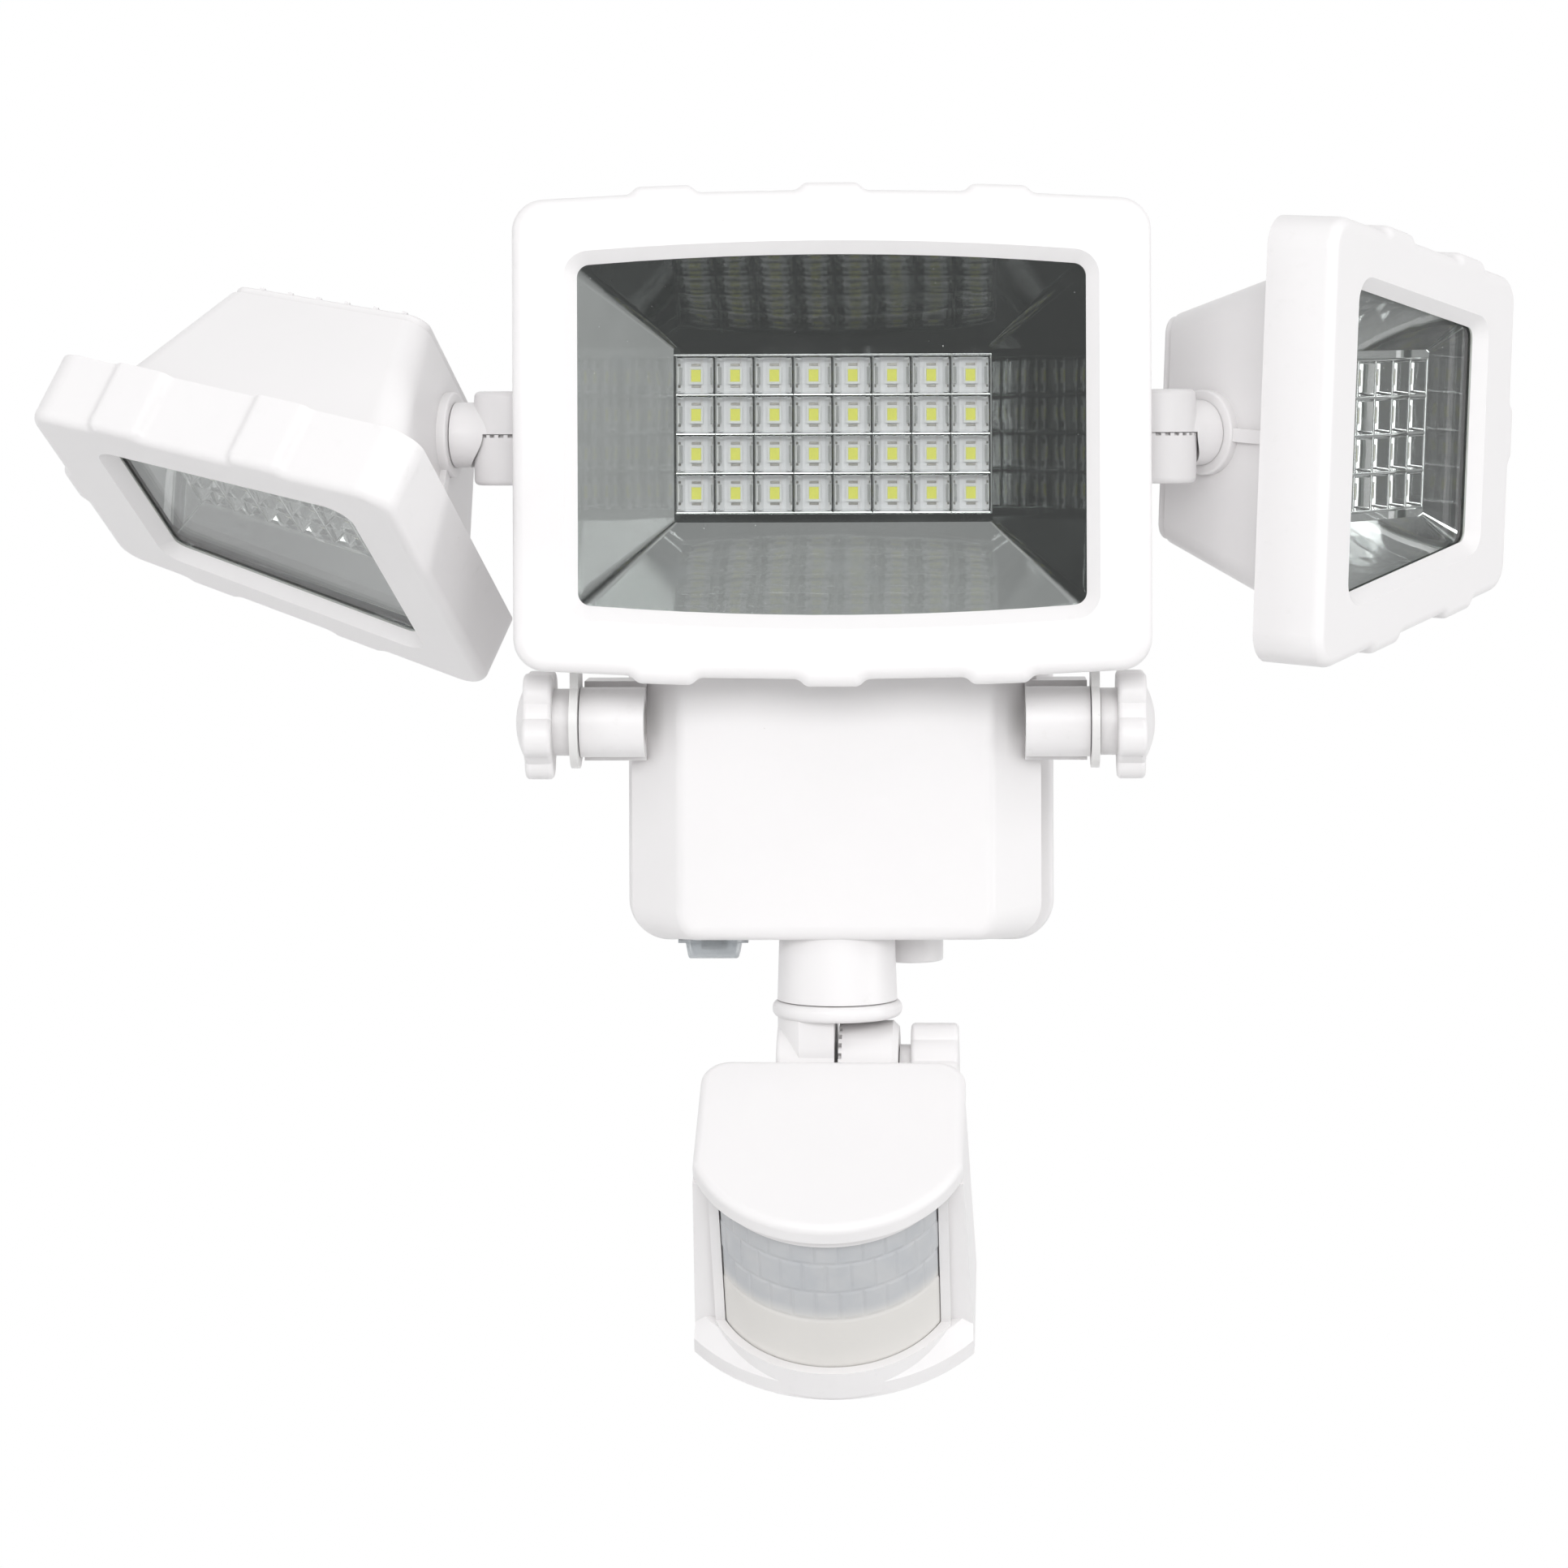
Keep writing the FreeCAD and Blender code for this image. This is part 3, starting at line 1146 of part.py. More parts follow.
def make_battery_holder():
    """Cradle behind the cells with an end wall at each side, held by the case bosses."""
    places = battery_places()
    back = max(y for y, z in places) + CELL_RADIUS + HOLDER_WALL
    front = min(y for y, z in places)
    half_z = CELL_RADIUS * 2 + CELL_GAP / 2 + HOLDER_SPARE
    half_x = CELL_LENGTH / 2 + HOLDER_WALL
    plate = block(vec(-half_x, back - HOLDER_DEPTH, -half_z), vec(half_x, back, half_z))
    ends = []
    for side in (-1, 1):
        reach = sorted([side * CELL_LENGTH / 2, side * half_x])
        ends.append(block(vec(reach[0], front, -half_z), vec(reach[1], back, half_z)))
    holder = fuse_all([plate] + ends)
    for y, z in places:
        start = vec(-CELL_LENGTH / 2, y, z)
        holder = holder.cut(cylinder(CELL_RADIUS + RUN, start, vec(CELL_LENGTH / 2, y, z)))
    seat = COVER_FRONT_Y + COVER_WALL
    half_tall = CASE_HALF_HEIGHT - COVER_LEDGE + HOLDER_PLATE_LAP
    foot = block(
        vec(-HOLDER_FOOT_HALF, back, -HOLDER_FOOT_TALL),
        vec(HOLDER_FOOT_HALF, seat + HOLDER_PLATE, HOLDER_FOOT_TALL),
    )
    plate_back = block(
        vec(-HOLDER_FOOT_HALF, seat, -half_tall),
        vec(HOLDER_FOOT_HALF, seat + HOLDER_PLATE, half_tall),
    )
    return fuse_all([holder, foot, plate_back])


def upright_block(x, z, wide, tall, near, far):
    """Block round a point of the board, between two depths."""
    return block(vec(x - wide / 2, near, z - tall / 2), vec(x + wide / 2, far, z + tall / 2))


def make_control_board():
    """Board on the case standoffs with its larger components."""
    front = CASE_FRONT_Y + CASE_WALL + CONTROL_STANDOFF
    back = front + BOARD_THICK
    board = upright_block(0, 0, CONTROL_BOARD_WIDE, CONTROL_BOARD_TALL, front, back)
    relay = upright_block(RELAY_X, RELAY_Z, RELAY_WIDE, RELAY_TALL, back, back + RELAY_RISE)
    chip = upright_block(CHIP_X, CHIP_Z, CHIP_WIDE, CHIP_TALL, back, back + CHIP_RISE)
    choke = cylinder(CHOKE_RADIUS, vec(CHOKE_X, back, CHOKE_Z), vec(CHOKE_X, back + RELAY_RISE, CHOKE_Z))
    solid = fuse_all([board, relay, chip, choke])
    for x, z in rectangle(STANDOFF_SPREAD_X / 2, STANDOFF_SPREAD_Z / 2):
        solid = solid.cut(cylinder(SCREW_RADIUS, vec(x, front - 1, z), vec(x, back + 1, z)))
    return solid


def make_control_screws():
    back = CASE_FRONT_Y + CASE_WALL + CONTROL_STANDOFF + BOARD_THICK
    screws = []
    for x, z in rectangle(STANDOFF_SPREAD_X / 2, STANDOFF_SPREAD_Z / 2):
        screws.append(machine_screw(vec(x, back, z), vec(0, -1, 0), length=CONTROL_SCREW_LENGTH))
    return Part.makeCompound(screws)


def make_switch_body():
    """Slide switch inside the case, over the slot in its floor."""
    floor = CASE_BOTTOM + CASE_WALL
    body = block(
        vec(SWITCH_X - SWITCH_HALF, UNDER_Y - SWITCH_DEEP / 2, floor),
        vec(SWITCH_X + SWITCH_HALF, UNDER_Y + SWITCH_DEEP / 2, floor + SWITCH_TALL),
    )
    return body.cut(switch_slot(floor - 1, floor + SLIDER_RISE))


def make_switch_slider():
    floor = CASE_BOTTOM + CASE_WALL
    slider = block(
        vec(SWITCH_X - SLIDER_WIDE / 2, UNDER_Y - SLIDER_DEEP / 2, CASE_BOTTOM - SLIDER_DROP),
        vec(SWITCH_X + SLIDER_WIDE / 2, UNDER_Y + SLIDER_DEEP / 2, floor + SLIDER_RISE - LOOSE),
    )
    low = CASE_BOTTOM - SLIDER_DROP
    return fillet_where(slider, SLIDER_ROUND, lambda e: in_plane(e, 2, low))


def tapered_block(half_top, half_end, half_deep, top, end):
    """Block that narrows in x from its top to its end, under the switch."""
    points = [
        vec(SWITCH_X - half_top, UNDER_Y - half_deep, top),
        vec(SWITCH_X + half_top, UNDER_Y - half_deep, top),
        vec(SWITCH_X + half_end, UNDER_Y - half_deep, end),
        vec(SWITCH_X - half_end, UNDER_Y - half_deep, end),
    ]
    return Part.Face(Part.makePolygon(points + points[:1])).extrude(vec(0, 2 * half_deep, 0))


def make_switch_boot():
    """Clear soft boot with a thin flange, over the switch slider."""
    end = CASE_BOTTOM - BOOT_DROP
    shell = tapered_block(BOOT_TOP / 2, BOOT_END / 2, BOOT_DEEP / 2, CASE_BOTTOM, end)
    shell = fillet_where(shell, BOOT_ROUND, lambda e: e.BoundBox.ZMin < end + 0.01)
    flange = tapered_block(
        BOOT_TOP / 2 + BOOT_FLANGE, BOOT_TOP / 2 + BOOT_FLANGE, BOOT_DEEP / 2 + BOOT_FLANGE,
        CASE_BOTTOM, CASE_BOTTOM - BOOT_FLANGE_THICK,
    )
    room = tapered_block(
        BOOT_TOP / 2 - BOOT_WALL, BOOT_END / 2 - BOOT_WALL, BOOT_DEEP / 2 - BOOT_WALL,
        CASE_BOTTOM + 1, end + BOOT_WALL,
    )
    return shell.fuse(flange).cut(room)


def make_jack_socket():
    """Round boss under the case with a plain bore for a plug, and its body inside."""
    low = CASE_BOTTOM - SOCKET_DROP
    boss = cylinder(SOCKET_RADIUS, vec(SOCKET_X, SOCKET_Y, low), vec(SOCKET_X, SOCKET_Y, CASE_BOTTOM))
    boss = fillet_where(boss, SOCKET_ROUND, lambda e: in_plane(e, 2, low))
    neck_top = vec(SOCKET_X, SOCKET_Y, CASE_BOTTOM + SOCKET_TALL)
    neck = cylinder(SOCKET_NECK, vec(SOCKET_X, SOCKET_Y, CASE_BOTTOM - 1), neck_top)
    bore_end = vec(SOCKET_X, SOCKET_Y, low + JACK_DEPTH)
    bore = cylinder(JACK_RADIUS, vec(SOCKET_X, SOCKET_Y, low - 1), bore_end)
    return boss.fuse(neck).cut(bore).removeSplitter()


def make_sensor_arm():
    """Collar and spigot in the stalk, and the left half of the tilt joint, in the axis frame."""
    collar_low = SENSOR_AXIS_DROP
    collar_top = collar_low + COLLAR_THICK
    collar = cylinder(COLLAR_RADIUS, vec(0, 0, collar_low), vec(0, 0, collar_top))
    rims = (collar_low, collar_top)
    collar = fillet_where(collar, COLLAR_ROUND, lambda e: any(in_plane(e, 2, rim) for rim in rims))
    spigot_top = collar_top + ARM_SPIGOT
    spigot = cylinder(STALK_BORE - RUN, vec(0, 0, collar_top - 1), vec(0, 0, spigot_top))
    neck = cylinder(STALK_END_RADIUS, vec(0, 0, 0), vec(0, 0, collar_low + COLLAR_THICK / 4))
    left = block(vec(-SENSOR_ARM_LEFT, -UPRIGHT_HALF, 0), vec(-SENSOR_SEAM, UPRIGHT_HALF, collar_low + 1))
    barrel = cylinder(SENSOR_BARREL, vec(-SENSOR_ARM_LEFT, 0, 0), vec(-SENSOR_SEAM, 0, 0))
    barrel = fillet_where(barrel, SENSOR_BARREL_EDGE, lambda e: in_plane(e, 0, -SENSOR_ARM_LEFT))
    arm = fuse_all([collar, spigot, left.common(neck), barrel])
    outside = vec(-SENSOR_ARM_LEFT - 1, 0, 0)
    cuts = [
        cylinder(BOLT_RADIUS + RUN, outside, vec(1, 0, 0)),
        hexagon_bar(NUT_ACROSS + 2 * RUN, outside, vec(-SENSOR_ARM_LEFT + NUT_THICK, 0, 0)),
        cylinder(ARM_BORE, vec(0, 0, collar_top), vec(0, 0, spigot_top + 1)),
    ]
    return arm.cut(cuts)


def make_wing_knob():
    """Knob of the sensor's tilt joint along +X, in the world frame of its axis."""
    neck_start = vec(SENSOR_EAR_END + FACE_GAP, 0, 0)
    neck = cylinder(WING_NECK_RADIUS, neck_start, vec(WING_START + WING_EDGE / 2, 0, 0))
    lobes = lobed_knob(WING_REACH, WING_VALLEY, WING_LOBES, WING_THICK, WING_EDGE)
    lobes.translate(vec(WING_START, 0, 0))
    knob = neck.fuse(lobes)
    return knob.cut(cylinder(BOLT_RADIUS, vec(0, 0, 0), vec(WING_START + WING_THICK / 2, 0, 0)))


def sensor_outline(half, front_y, back_y, bulge, corner):
    """Plan of the sensor head: straight sides, an arc across the front, rounded back corners."""
    side_front = front_y + bulge
    left_front = vec(-half, side_front, 0)
    right_front = vec(half, side_front, 0)
    nose = vec(0, front_y, 0)
    arc = Part.Arc(left_front, nose, right_front).toShape()
    right = Part.LineSegment(right_front, vec(half, back_y - corner, 0)).toShape()
    k = corner * (1 - math.sqrt(0.5))
    sides = []
    for side in (1, -1):
        start = vec(side * half, back_y - corner, 0)
        middle = vec(side * (half - k), back_y - k, 0)
        sides.append(Part.Arc(start, middle, vec(side * (half - corner), back_y, 0)).toShape())
    back = Part.LineSegment(vec(half - corner, back_y, 0), vec(-half + corner, back_y, 0)).toShape()
    left = Part.LineSegment(vec(-half, back_y - corner, 0), left_front).toShape()
    return Part.Wire(Part.sortEdges([arc, right, sides[0], back, sides[1], left])[0])


def sensor_half(level):
    """Half width of the head at a level; the sides spread downward."""
    share = (CAP_UNDER - level) / (CAP_UNDER - SENSOR_LOW)
    return SENSOR_HALF + (SENSOR_HALF_LOW - SENSOR_HALF) * share


def plan_loft(low, high, front_y, back_y, bulge, corner, wall=0.0):
    """Solid of the head's plan between two levels, following the spread of the sides."""
    wires = []
    for level in (low, high):
        wire = sensor_outline(sensor_half(level) - wall, front_y, back_y, bulge, corner)
        wire.translate(vec(0, 0, level))
        wires.append(wire)
    return Part.makeLoft(wires, True, True)


def plan_prism(wire, low, high):
    face = Part.Face(wire)
    face.translate(vec(0, 0, low))
    return face.extrude(vec(0, 0, high - low))


def arm_room():
    """Space that the arm's barrel and the knob's neck turn in."""
    reach = SENSOR_BARREL + LOOSE
    return cylinder(reach, vec(-FAR, 0, 0), vec(SENSOR_SEAM + FACE_GAP, 0, 0))


def lens_plan(radius_change, half):
    """Filled segment of the lens cylinder in front of the face, as a tall solid."""
    tube = cylinder(LENS_RADIUS + radius_change, vec(0, LENS_MIDDLE, -FAR), vec(0, LENS_MIDDLE, FAR))
    return tube.common(block(vec(-half, -FAR, -FAR), vec(half, FACE_Y + SENSOR_WALL / 2, FAR)))


def make_sensor_housing():
    """Rear shell and chin of the sensor head, with the ear of the tilt joint."""
    corner = SENSOR_BACK_CORNER
    trunk = plan_loft(SENSOR_LOW, CAP_UNDER, FACE_Y, -SENSOR_BACK, FACE_BULGE, corner)
    chin_top = SENSOR_LOW + SENSOR_CHIN
    chin = plan_loft(SENSOR_LOW, chin_top, CHIN_FRONT, -SENSOR_BACK, SENSOR_CHIN_BULGE, corner)
    chin = chin.cut(block(vec(-FAR, FACE_Y + CHIN_LAP, -FAR), vec(FAR, FAR, FAR)))
    chin = chin.makeChamfer(CHIN_EDGE, [e for e in chin.Edges if in_plane(e, 2, SENSOR_LOW)])
    nose_edges = [e for e in chin.Edges if in_plane(e, 2, chin_top) and e.BoundBox.YMin < CHIN_FRONT + 1]
    chin = chin.makeChamfer(SENSOR_CHIN_SLOPE, nose_edges)
    rim_half = LENS_HALF + RIM_WIDE
    rim_low = SENSOR_LOW + SENSOR_WALL
    rim = lens_plan(RIM_WIDE, rim_half)
    rim = rim.common(block(vec(-FAR, -FAR, rim_low), vec(FAR, FACE_Y + 1, LENS_LOW + RIM_RISE)))
    sides = block(vec(-rim_half, FACE_Y - RIM_RISE, LENS_LOW - 2), vec(rim_half, FACE_Y + 1, CAP_UNDER))
    body = fuse_all([trunk, chin, rim, sides])
    hollow = plan_loft(
        SENSOR_LOW + SENSOR_WALL, CAP_UNDER + 1, FACE_Y + SENSOR_WALL, -SENSOR_BACK - SENSOR_WALL,
        FACE_BULGE, corner - SENSOR_WALL, SENSOR_WALL,
    )
    body = body.cut(hollow)
    lens_room = lens_plan(FACE_GAP, LENS_HALF + FACE_GAP)
    body = body.cut(lens_room.common(block(vec(-FAR, -FAR, LENS_LOW), vec(FAR, 0, FAR))))
    behind = block(
        vec(-LENS_HALF + 1, FACE_Y - 1, LENS_LOW + 1),
        vec(LENS_HALF - 1, FACE_Y + SENSOR_WALL + 1, CAP_UNDER - 1),
    )
    body = body.cut(behind)
    ear = cylinder(SENSOR_BARREL, vec(SENSOR_EAR_START, 0, 0), vec(SENSOR_EAR_END, 0, 0))
    ear = ear.makeChamfer(SENSOR_EAR_EDGE, [e for e in ear.Edges if in_plane(e, 0, SENSOR_EAR_END)])
    web = block(
        vec(SENSOR_EAR_START, -SENSOR_BACK - SENSOR_WALL * 3 / 4, -SENSOR_BARREL),
        vec(SENSOR_EAR_END, 0, SENSOR_BARREL * SENSOR_WEB_SHARE),
    )
    ear = ear.fuse(web)
    half = math.pi * SENSOR_BARREL / SENSOR_TEETH * SENSOR_TOOTH_SHARE
    for k in range(SENSOR_TEETH):
        notch = block(
            vec(SENSOR_EAR_START - 1, SENSOR_BARREL - SENSOR_TOOTH_DEEP, -half),
            vec(SENSOR_EAR_START + SENSOR_TOOTH_LONG, SENSOR_BARREL + 1, half),
        )
        notch.rotate(vec(0, 0, 0), vec(1, 0, 0), k * 360 / SENSOR_TEETH)
        ear = ear.cut(notch)
    body = body.fuse(ear)
    cuts = [cylinder(BOLT_RADIUS + RUN, vec(0, 0, 0), vec(SENSOR_EAR_END + 1, 0, 0))]
    for x, y in dial_places():
        stem_top = vec(x, y, SENSOR_LOW + SENSOR_WALL + 1)
        cuts.append(cylinder(DIAL_STEM + RUN, vec(x, y, SENSOR_LOW - 1), stem_top))
    for x, y in sensor_screw_places():
        body = body.fuse(cylinder(SENSOR_BOSS_RADIUS, vec(x, y, SENSOR_LOW + 1), vec(x, y, CAP_UNDER)))
        cuts.append(cylinder(SCREW_RADIUS, vec(x, y, SENSOR_LOW + 1), vec(x, y, CAP_UNDER + 1)))
        seat = vec(x, y, SENSOR_SCREW_SEAT)
        cuts.append(cylinder(SCREW_HEAD_RADIUS + RUN, vec(x, y, SENSOR_LOW - 1), seat))
    for tool in cuts:
        body = body.cut(tool)
    return body


def dial_places():
    middle = (FACE_Y - SENSOR_BACK) / 2
    return [(-DIAL_SPREAD, middle), (0.0, middle), (DIAL_SPREAD, middle)]


def sensor_screw_places():
    x = SENSOR_HALF - SENSOR_WALL - SENSOR_BOSS_IN
    y = -SENSOR_BACK - SENSOR_BOSS_BACK
    return [(-x, y), (x, y)]


def make_sensor_visor():
    """Cap plate that overhangs the lens, with a second lip under it."""
    corner = SENSOR_BACK_CORNER
    wire = sensor_outline(SENSOR_HALF, SENSOR_FRONT, -SENSOR_CAP_BACK, SENSOR_CAP_BULGE, corner)
    cap = plan_prism(wire, CAP_UNDER, SENSOR_CAP_TOP)
    cap = fillet_where(cap, SENSOR_CAP_EDGE, lambda e: in_plane(e, 2, SENSOR_CAP_TOP))
    lip = lens_plan(RING_INSET, LENS_HALF + RING_INSET + CAP_LAP)
    lip = lip.cut(lens_plan(FACE_GAP, LENS_HALF + FACE_GAP))
    lip_low = CAP_UNDER - RING_HEIGHT
    lip_back = FACE_Y - FACE_GAP - RIM_RISE
    lip = lip.common(block(vec(-FAR, -FAR, lip_low), vec(FAR, lip_back, CAP_UNDER)))
    cap = cap.fuse(lip)
    for x, y in sensor_screw_places():
        screw_end = CAP_UNDER + SENSOR_SCREW_BITE + FACE_GAP
        cap = cap.cut(cylinder(SCREW_RADIUS, vec(x, y, CAP_UNDER - 1), vec(x, y, screw_end)))
    return cap.cut(arm_room()).removeSplitter()


def make_sensor_lens():
    """Thin curved lens window with side flanges in the housing's face."""
    shell = lens_plan(0.0, LENS_HALF).cut(lens_plan(-LENS_THICK, LENS_HALF - LENS_THICK))
    return shell.common(block(vec(-FAR, -FAR, LENS_LOW), vec(FAR, FACE_Y + CAP_LAP, CAP_UNDER)))


def make_sensor_screws():
    screws = []
    for x, y in sensor_screw_places():
        length = CAP_UNDER + SENSOR_SCREW_BITE - SENSOR_SCREW_SEAT
        screws.append(machine_screw(vec(x, y, SENSOR_SCREW_SEAT), vec(0, 0, 1), length=length))
    return Part.makeCompound(screws)


def make_sensor_board():
    """Upright board behind the lens, resting on the housing's floor."""
    y = FACE_Y + SENSOR_BOARD_BACK
    return block(
        vec(-SENSOR_BOARD_HALF, y, SENSOR_LOW + SENSOR_WALL),
        vec(SENSOR_BOARD_HALF, y + BOARD_THICK, CAP_UNDER - SENSOR_BOARD_DROP),
    )


def make_pir_element():
    """Round metal can with its square window, on the board's front."""
    y = FACE_Y + SENSOR_BOARD_BACK
    z = (LENS_LOW + CAP_UNDER) / 2
    can = cylinder(PIR_RADIUS, vec(0, y - PIR_TALL, z), vec(0, y, z))
    front = y - PIR_TALL
    return can.cut(upright_block(0, z, PIR_WINDOW, PIR_WINDOW, front - 1, front + PIR_WINDOW_DEEP))


def make_dial(x, y):
    """Slotted setting dial under the head, with its stem in the floor."""
    top = SENSOR_LOW - FACE_GAP
    low = top - DIAL_TALL
    knob = cylinder(DIAL_RADIUS, vec(x, y, low), vec(x, y, top))
    knob = fillet_where(knob, DIAL_ROUND, lambda e: in_plane(e, 2, low))
    stem_top = SENSOR_LOW + SENSOR_WALL + DIAL_STEM_RISE
    stem = cylinder(DIAL_STEM, vec(x, y, top - DIAL_TALL / 2), vec(x, y, stem_top))
    half = DIAL_SLOT_WIDE / 2
    slot_top = low + DIAL_SLOT_DEEP
    slot = block(vec(x - half, y - DIAL_RADIUS, low - 1), vec(x + half, y + DIAL_RADIUS, slot_top))
    return knob.fuse(stem).cut(slot)


def centre_placement():
    return Placement(vec(0, ROOT_Y - CENTRE_FRONT, LAMP_HEIGHT), Rotation())


def pivot_point(side):
    return vec(side * SWIVEL_SPREAD, ROOT_Y, LAMP_HEIGHT)


def knuckle_placement(side):
    """The right knuckle points along +X, the left one is turned half round about Z."""
    swivel = RIGHT_SWIVEL if side > 0 else 180.0 - LEFT_SWIVEL
    return Placement(pivot_point(side), Rotation(vec(0, 0, 1), swivel))


def side_lamp_placement(side):
    """Swivel, then tilt about the stem, then the draft between the stem and the lamp."""
    swivel = Rotation(vec(0, 0, 1), RIGHT_SWIVEL if side > 0 else -LEFT_SWIVEL)
    tilt = Rotation(vec(1, 0, 0), RIGHT_TILT if side > 0 else LEFT_TILT)
    draft = Rotation(vec(0, 0, 1), side * HOUSING_DRAFT)
    flip = Rotation() if side > 0 else Rotation(vec(0, 1, 0), 180)
    turn = swivel.multiply(tilt).multiply(draft).multiply(flip)
    to_pivot = Placement(vec(-SIDE_PIVOT_IN, -SIDE_PIVOT_DEPTH, 0), Rotation())
    return Placement(pivot_point(side), turn).multiply(to_pivot)


def sensor_axis_placement():
    """Frame of the sensor's tilt axis, turned with the arm in the stalk."""
    return Placement(vec(0, STALK_Y, SENSOR_AXIS_Z), Rotation(vec(0, 0, 1), -SENSOR_SWIVEL))


def sensor_placement():
    pitch = Placement(vec(0, 0, 0), Rotation(vec(1, 0, 0), SENSOR_PITCH))
    return sensor_axis_placement().multiply(pitch)


def clamp_placement(side):
    """Knob frame: x = 0 where the neck meets the yoke's ear, pointing outward."""
    x = HUB_OUTER + FACE_GAP + YOKE_THICK + FACE_GAP
    turn = Rotation() if side > 0 else Rotation(vec(0, 0, 1), 180)
    return Placement(vec(side * x, TILT_Y, TILT_HEIGHT), turn)


def placed(shape, placement):
    moved = shape.copy()
    moved.Placement = placement.multiply(moved.Placement)
    return moved


def lamp_nodes(name, lamp, housing, placement, others=()):
    pieces = {
        "bezel": make_bezel(lamp),
        "housing": housing,
        "rear_cover": make_rear_cover(lamp),
        "glass": make_glass(lamp),
        "glass_gasket": make_gasket(lamp),
        "reflector": make_reflector(lamp),
        "led_board": make_led_board(lamp),
        "leds": make_leds(lamp),
        "screws": make_lamp_screws(lamp, others),
    }
    return {name + "_" + key: placed(shape, placement) for key, shape in pieces.items()}


def root_nodes():
    nut_right = Placement(vec(HUB_INNER, TILT_Y, TILT_HEIGHT), Rotation())
    nut_left = Placement(vec(-HUB_INNER, TILT_Y, TILT_HEIGHT), Rotation(vec(0, 0, 1), 180))
    return {
        "front_case": make_front_case(),
        "case_gasket": make_case_gasket(),
        "wall_cover": make_rear_cover_box(),
        "case_screws": make_case_screws(),
        "battery_cells": make_battery_cells(),
        "battery_holder": make_battery_holder(),
        "control_board": make_control_board(),
        "control_screws": make_control_screws(),
        "switch_body": make_switch_body(),
        "switch_boot": make_switch_boot(),
        "jack_socket": make_jack_socket(),
        "tilt_nuts": Part.makeCompound([placed(make_nut(), nut_left), placed(make_nut(), nut_right)]),
        "switch_slider": make_switch_slider(),
    }


def sensor_nodes():
    head = sensor_placement()
    axis = sensor_axis_placement()
    bolt_start = vec(-SENSOR_ARM_LEFT + NUT_THICK / 8, 0, 0)
    bolt = cylinder(BOLT_RADIUS, bolt_start, vec(WING_START + WING_THICK / 2, 0, 0))
    nut = make_nut().translated(vec(-SENSOR_ARM_LEFT, 0, 0))
    nodes = {
        "sensor_arm": placed(make_sensor_arm(), axis),
        "sensor_nut": placed(nut, axis),
        "wing_knob": placed(make_wing_knob(), axis),
        "wing_bolt": placed(bolt, axis),
        "sensor_housing": placed(make_sensor_housing(), head),
        "sensor_visor": placed(make_sensor_visor(), head),
        "sensor_lens": placed(make_sensor_lens(), head),
        "sensor_board": placed(make_sensor_board(), head),
        "pir_element": placed(make_pir_element(), head),
        "sensor_screws": placed(make_sensor_screws(), head),
    }
    for name, (x, y) in zip(("time_dial", "light_dial", "range_dial"), dial_places()):
        nodes[name] = placed(make_dial(x, y), head)
    return nodes


def clamp_nodes():
    nodes = {}
    for name, side in (("left", -1), ("right", 1)):
        nodes[name + "_clamp_knob"] = placed(make_clamp_knob(), clamp_placement(side))
        nodes[name + "_clamp_bolt"] = placed(make_clamp_bolt(), clamp_placement(side))
    return nodes


def all_nodes():
    nodes = root_nodes()
    nodes.update(lamp_nodes("centre", CENTRE, make_centre_housing(), centre_placement(), yoke_screws()))
    nodes["yoke_bracket"] = placed(make_yoke(), centre_placement())
    for name, side in (("left", -1), ("right", 1)):
        nodes[name + "_knuckle"] = placed(make_knuckle(), knuckle_placement(side))
        nodes.update(lamp_nodes(name, SIDE, make_side_housing(), side_lamp_placement(side)))
    nodes.update(clamp_nodes())
    nodes.update(sensor_nodes())
    return nodes


def write_parts():
    os.makedirs("parts", exist_ok=True)
    for name, shape in all_nodes().items():
        shape.exportStep(os.path.join("parts", name + ".step"))


write_parts()
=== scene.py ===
"""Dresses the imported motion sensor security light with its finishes, its lens and its studio."""

import json
import math

import bmesh
import bpy
from mathutils import Euler, Matrix, Vector


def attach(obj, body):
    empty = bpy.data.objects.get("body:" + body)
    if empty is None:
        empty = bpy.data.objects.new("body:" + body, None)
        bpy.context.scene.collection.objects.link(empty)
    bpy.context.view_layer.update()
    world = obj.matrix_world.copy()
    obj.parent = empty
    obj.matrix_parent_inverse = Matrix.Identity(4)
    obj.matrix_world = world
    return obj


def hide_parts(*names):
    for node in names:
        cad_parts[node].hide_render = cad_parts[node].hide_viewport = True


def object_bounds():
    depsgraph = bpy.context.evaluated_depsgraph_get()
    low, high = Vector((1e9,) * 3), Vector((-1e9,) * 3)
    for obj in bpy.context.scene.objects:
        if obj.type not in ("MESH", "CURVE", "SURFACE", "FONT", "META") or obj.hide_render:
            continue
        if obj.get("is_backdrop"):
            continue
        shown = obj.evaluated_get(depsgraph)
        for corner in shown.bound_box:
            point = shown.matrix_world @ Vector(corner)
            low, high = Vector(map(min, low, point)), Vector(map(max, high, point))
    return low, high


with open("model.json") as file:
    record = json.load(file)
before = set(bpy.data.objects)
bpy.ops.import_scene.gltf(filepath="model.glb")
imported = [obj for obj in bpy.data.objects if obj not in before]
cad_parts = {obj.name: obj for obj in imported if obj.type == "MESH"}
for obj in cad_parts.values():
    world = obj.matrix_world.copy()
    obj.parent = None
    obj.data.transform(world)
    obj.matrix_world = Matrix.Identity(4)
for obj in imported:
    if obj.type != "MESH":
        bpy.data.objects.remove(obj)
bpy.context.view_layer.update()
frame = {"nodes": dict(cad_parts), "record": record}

bl_info = {
    "name": "Motion Sensor Security Light",
    "version": (1, 0, 0),
    "blender": (4, 5, 0),
    "location": "3D View > Sidebar > Security Light",
    "description": "Dresses a three headed security light and sets up its studio",
    "category": "Object",
}

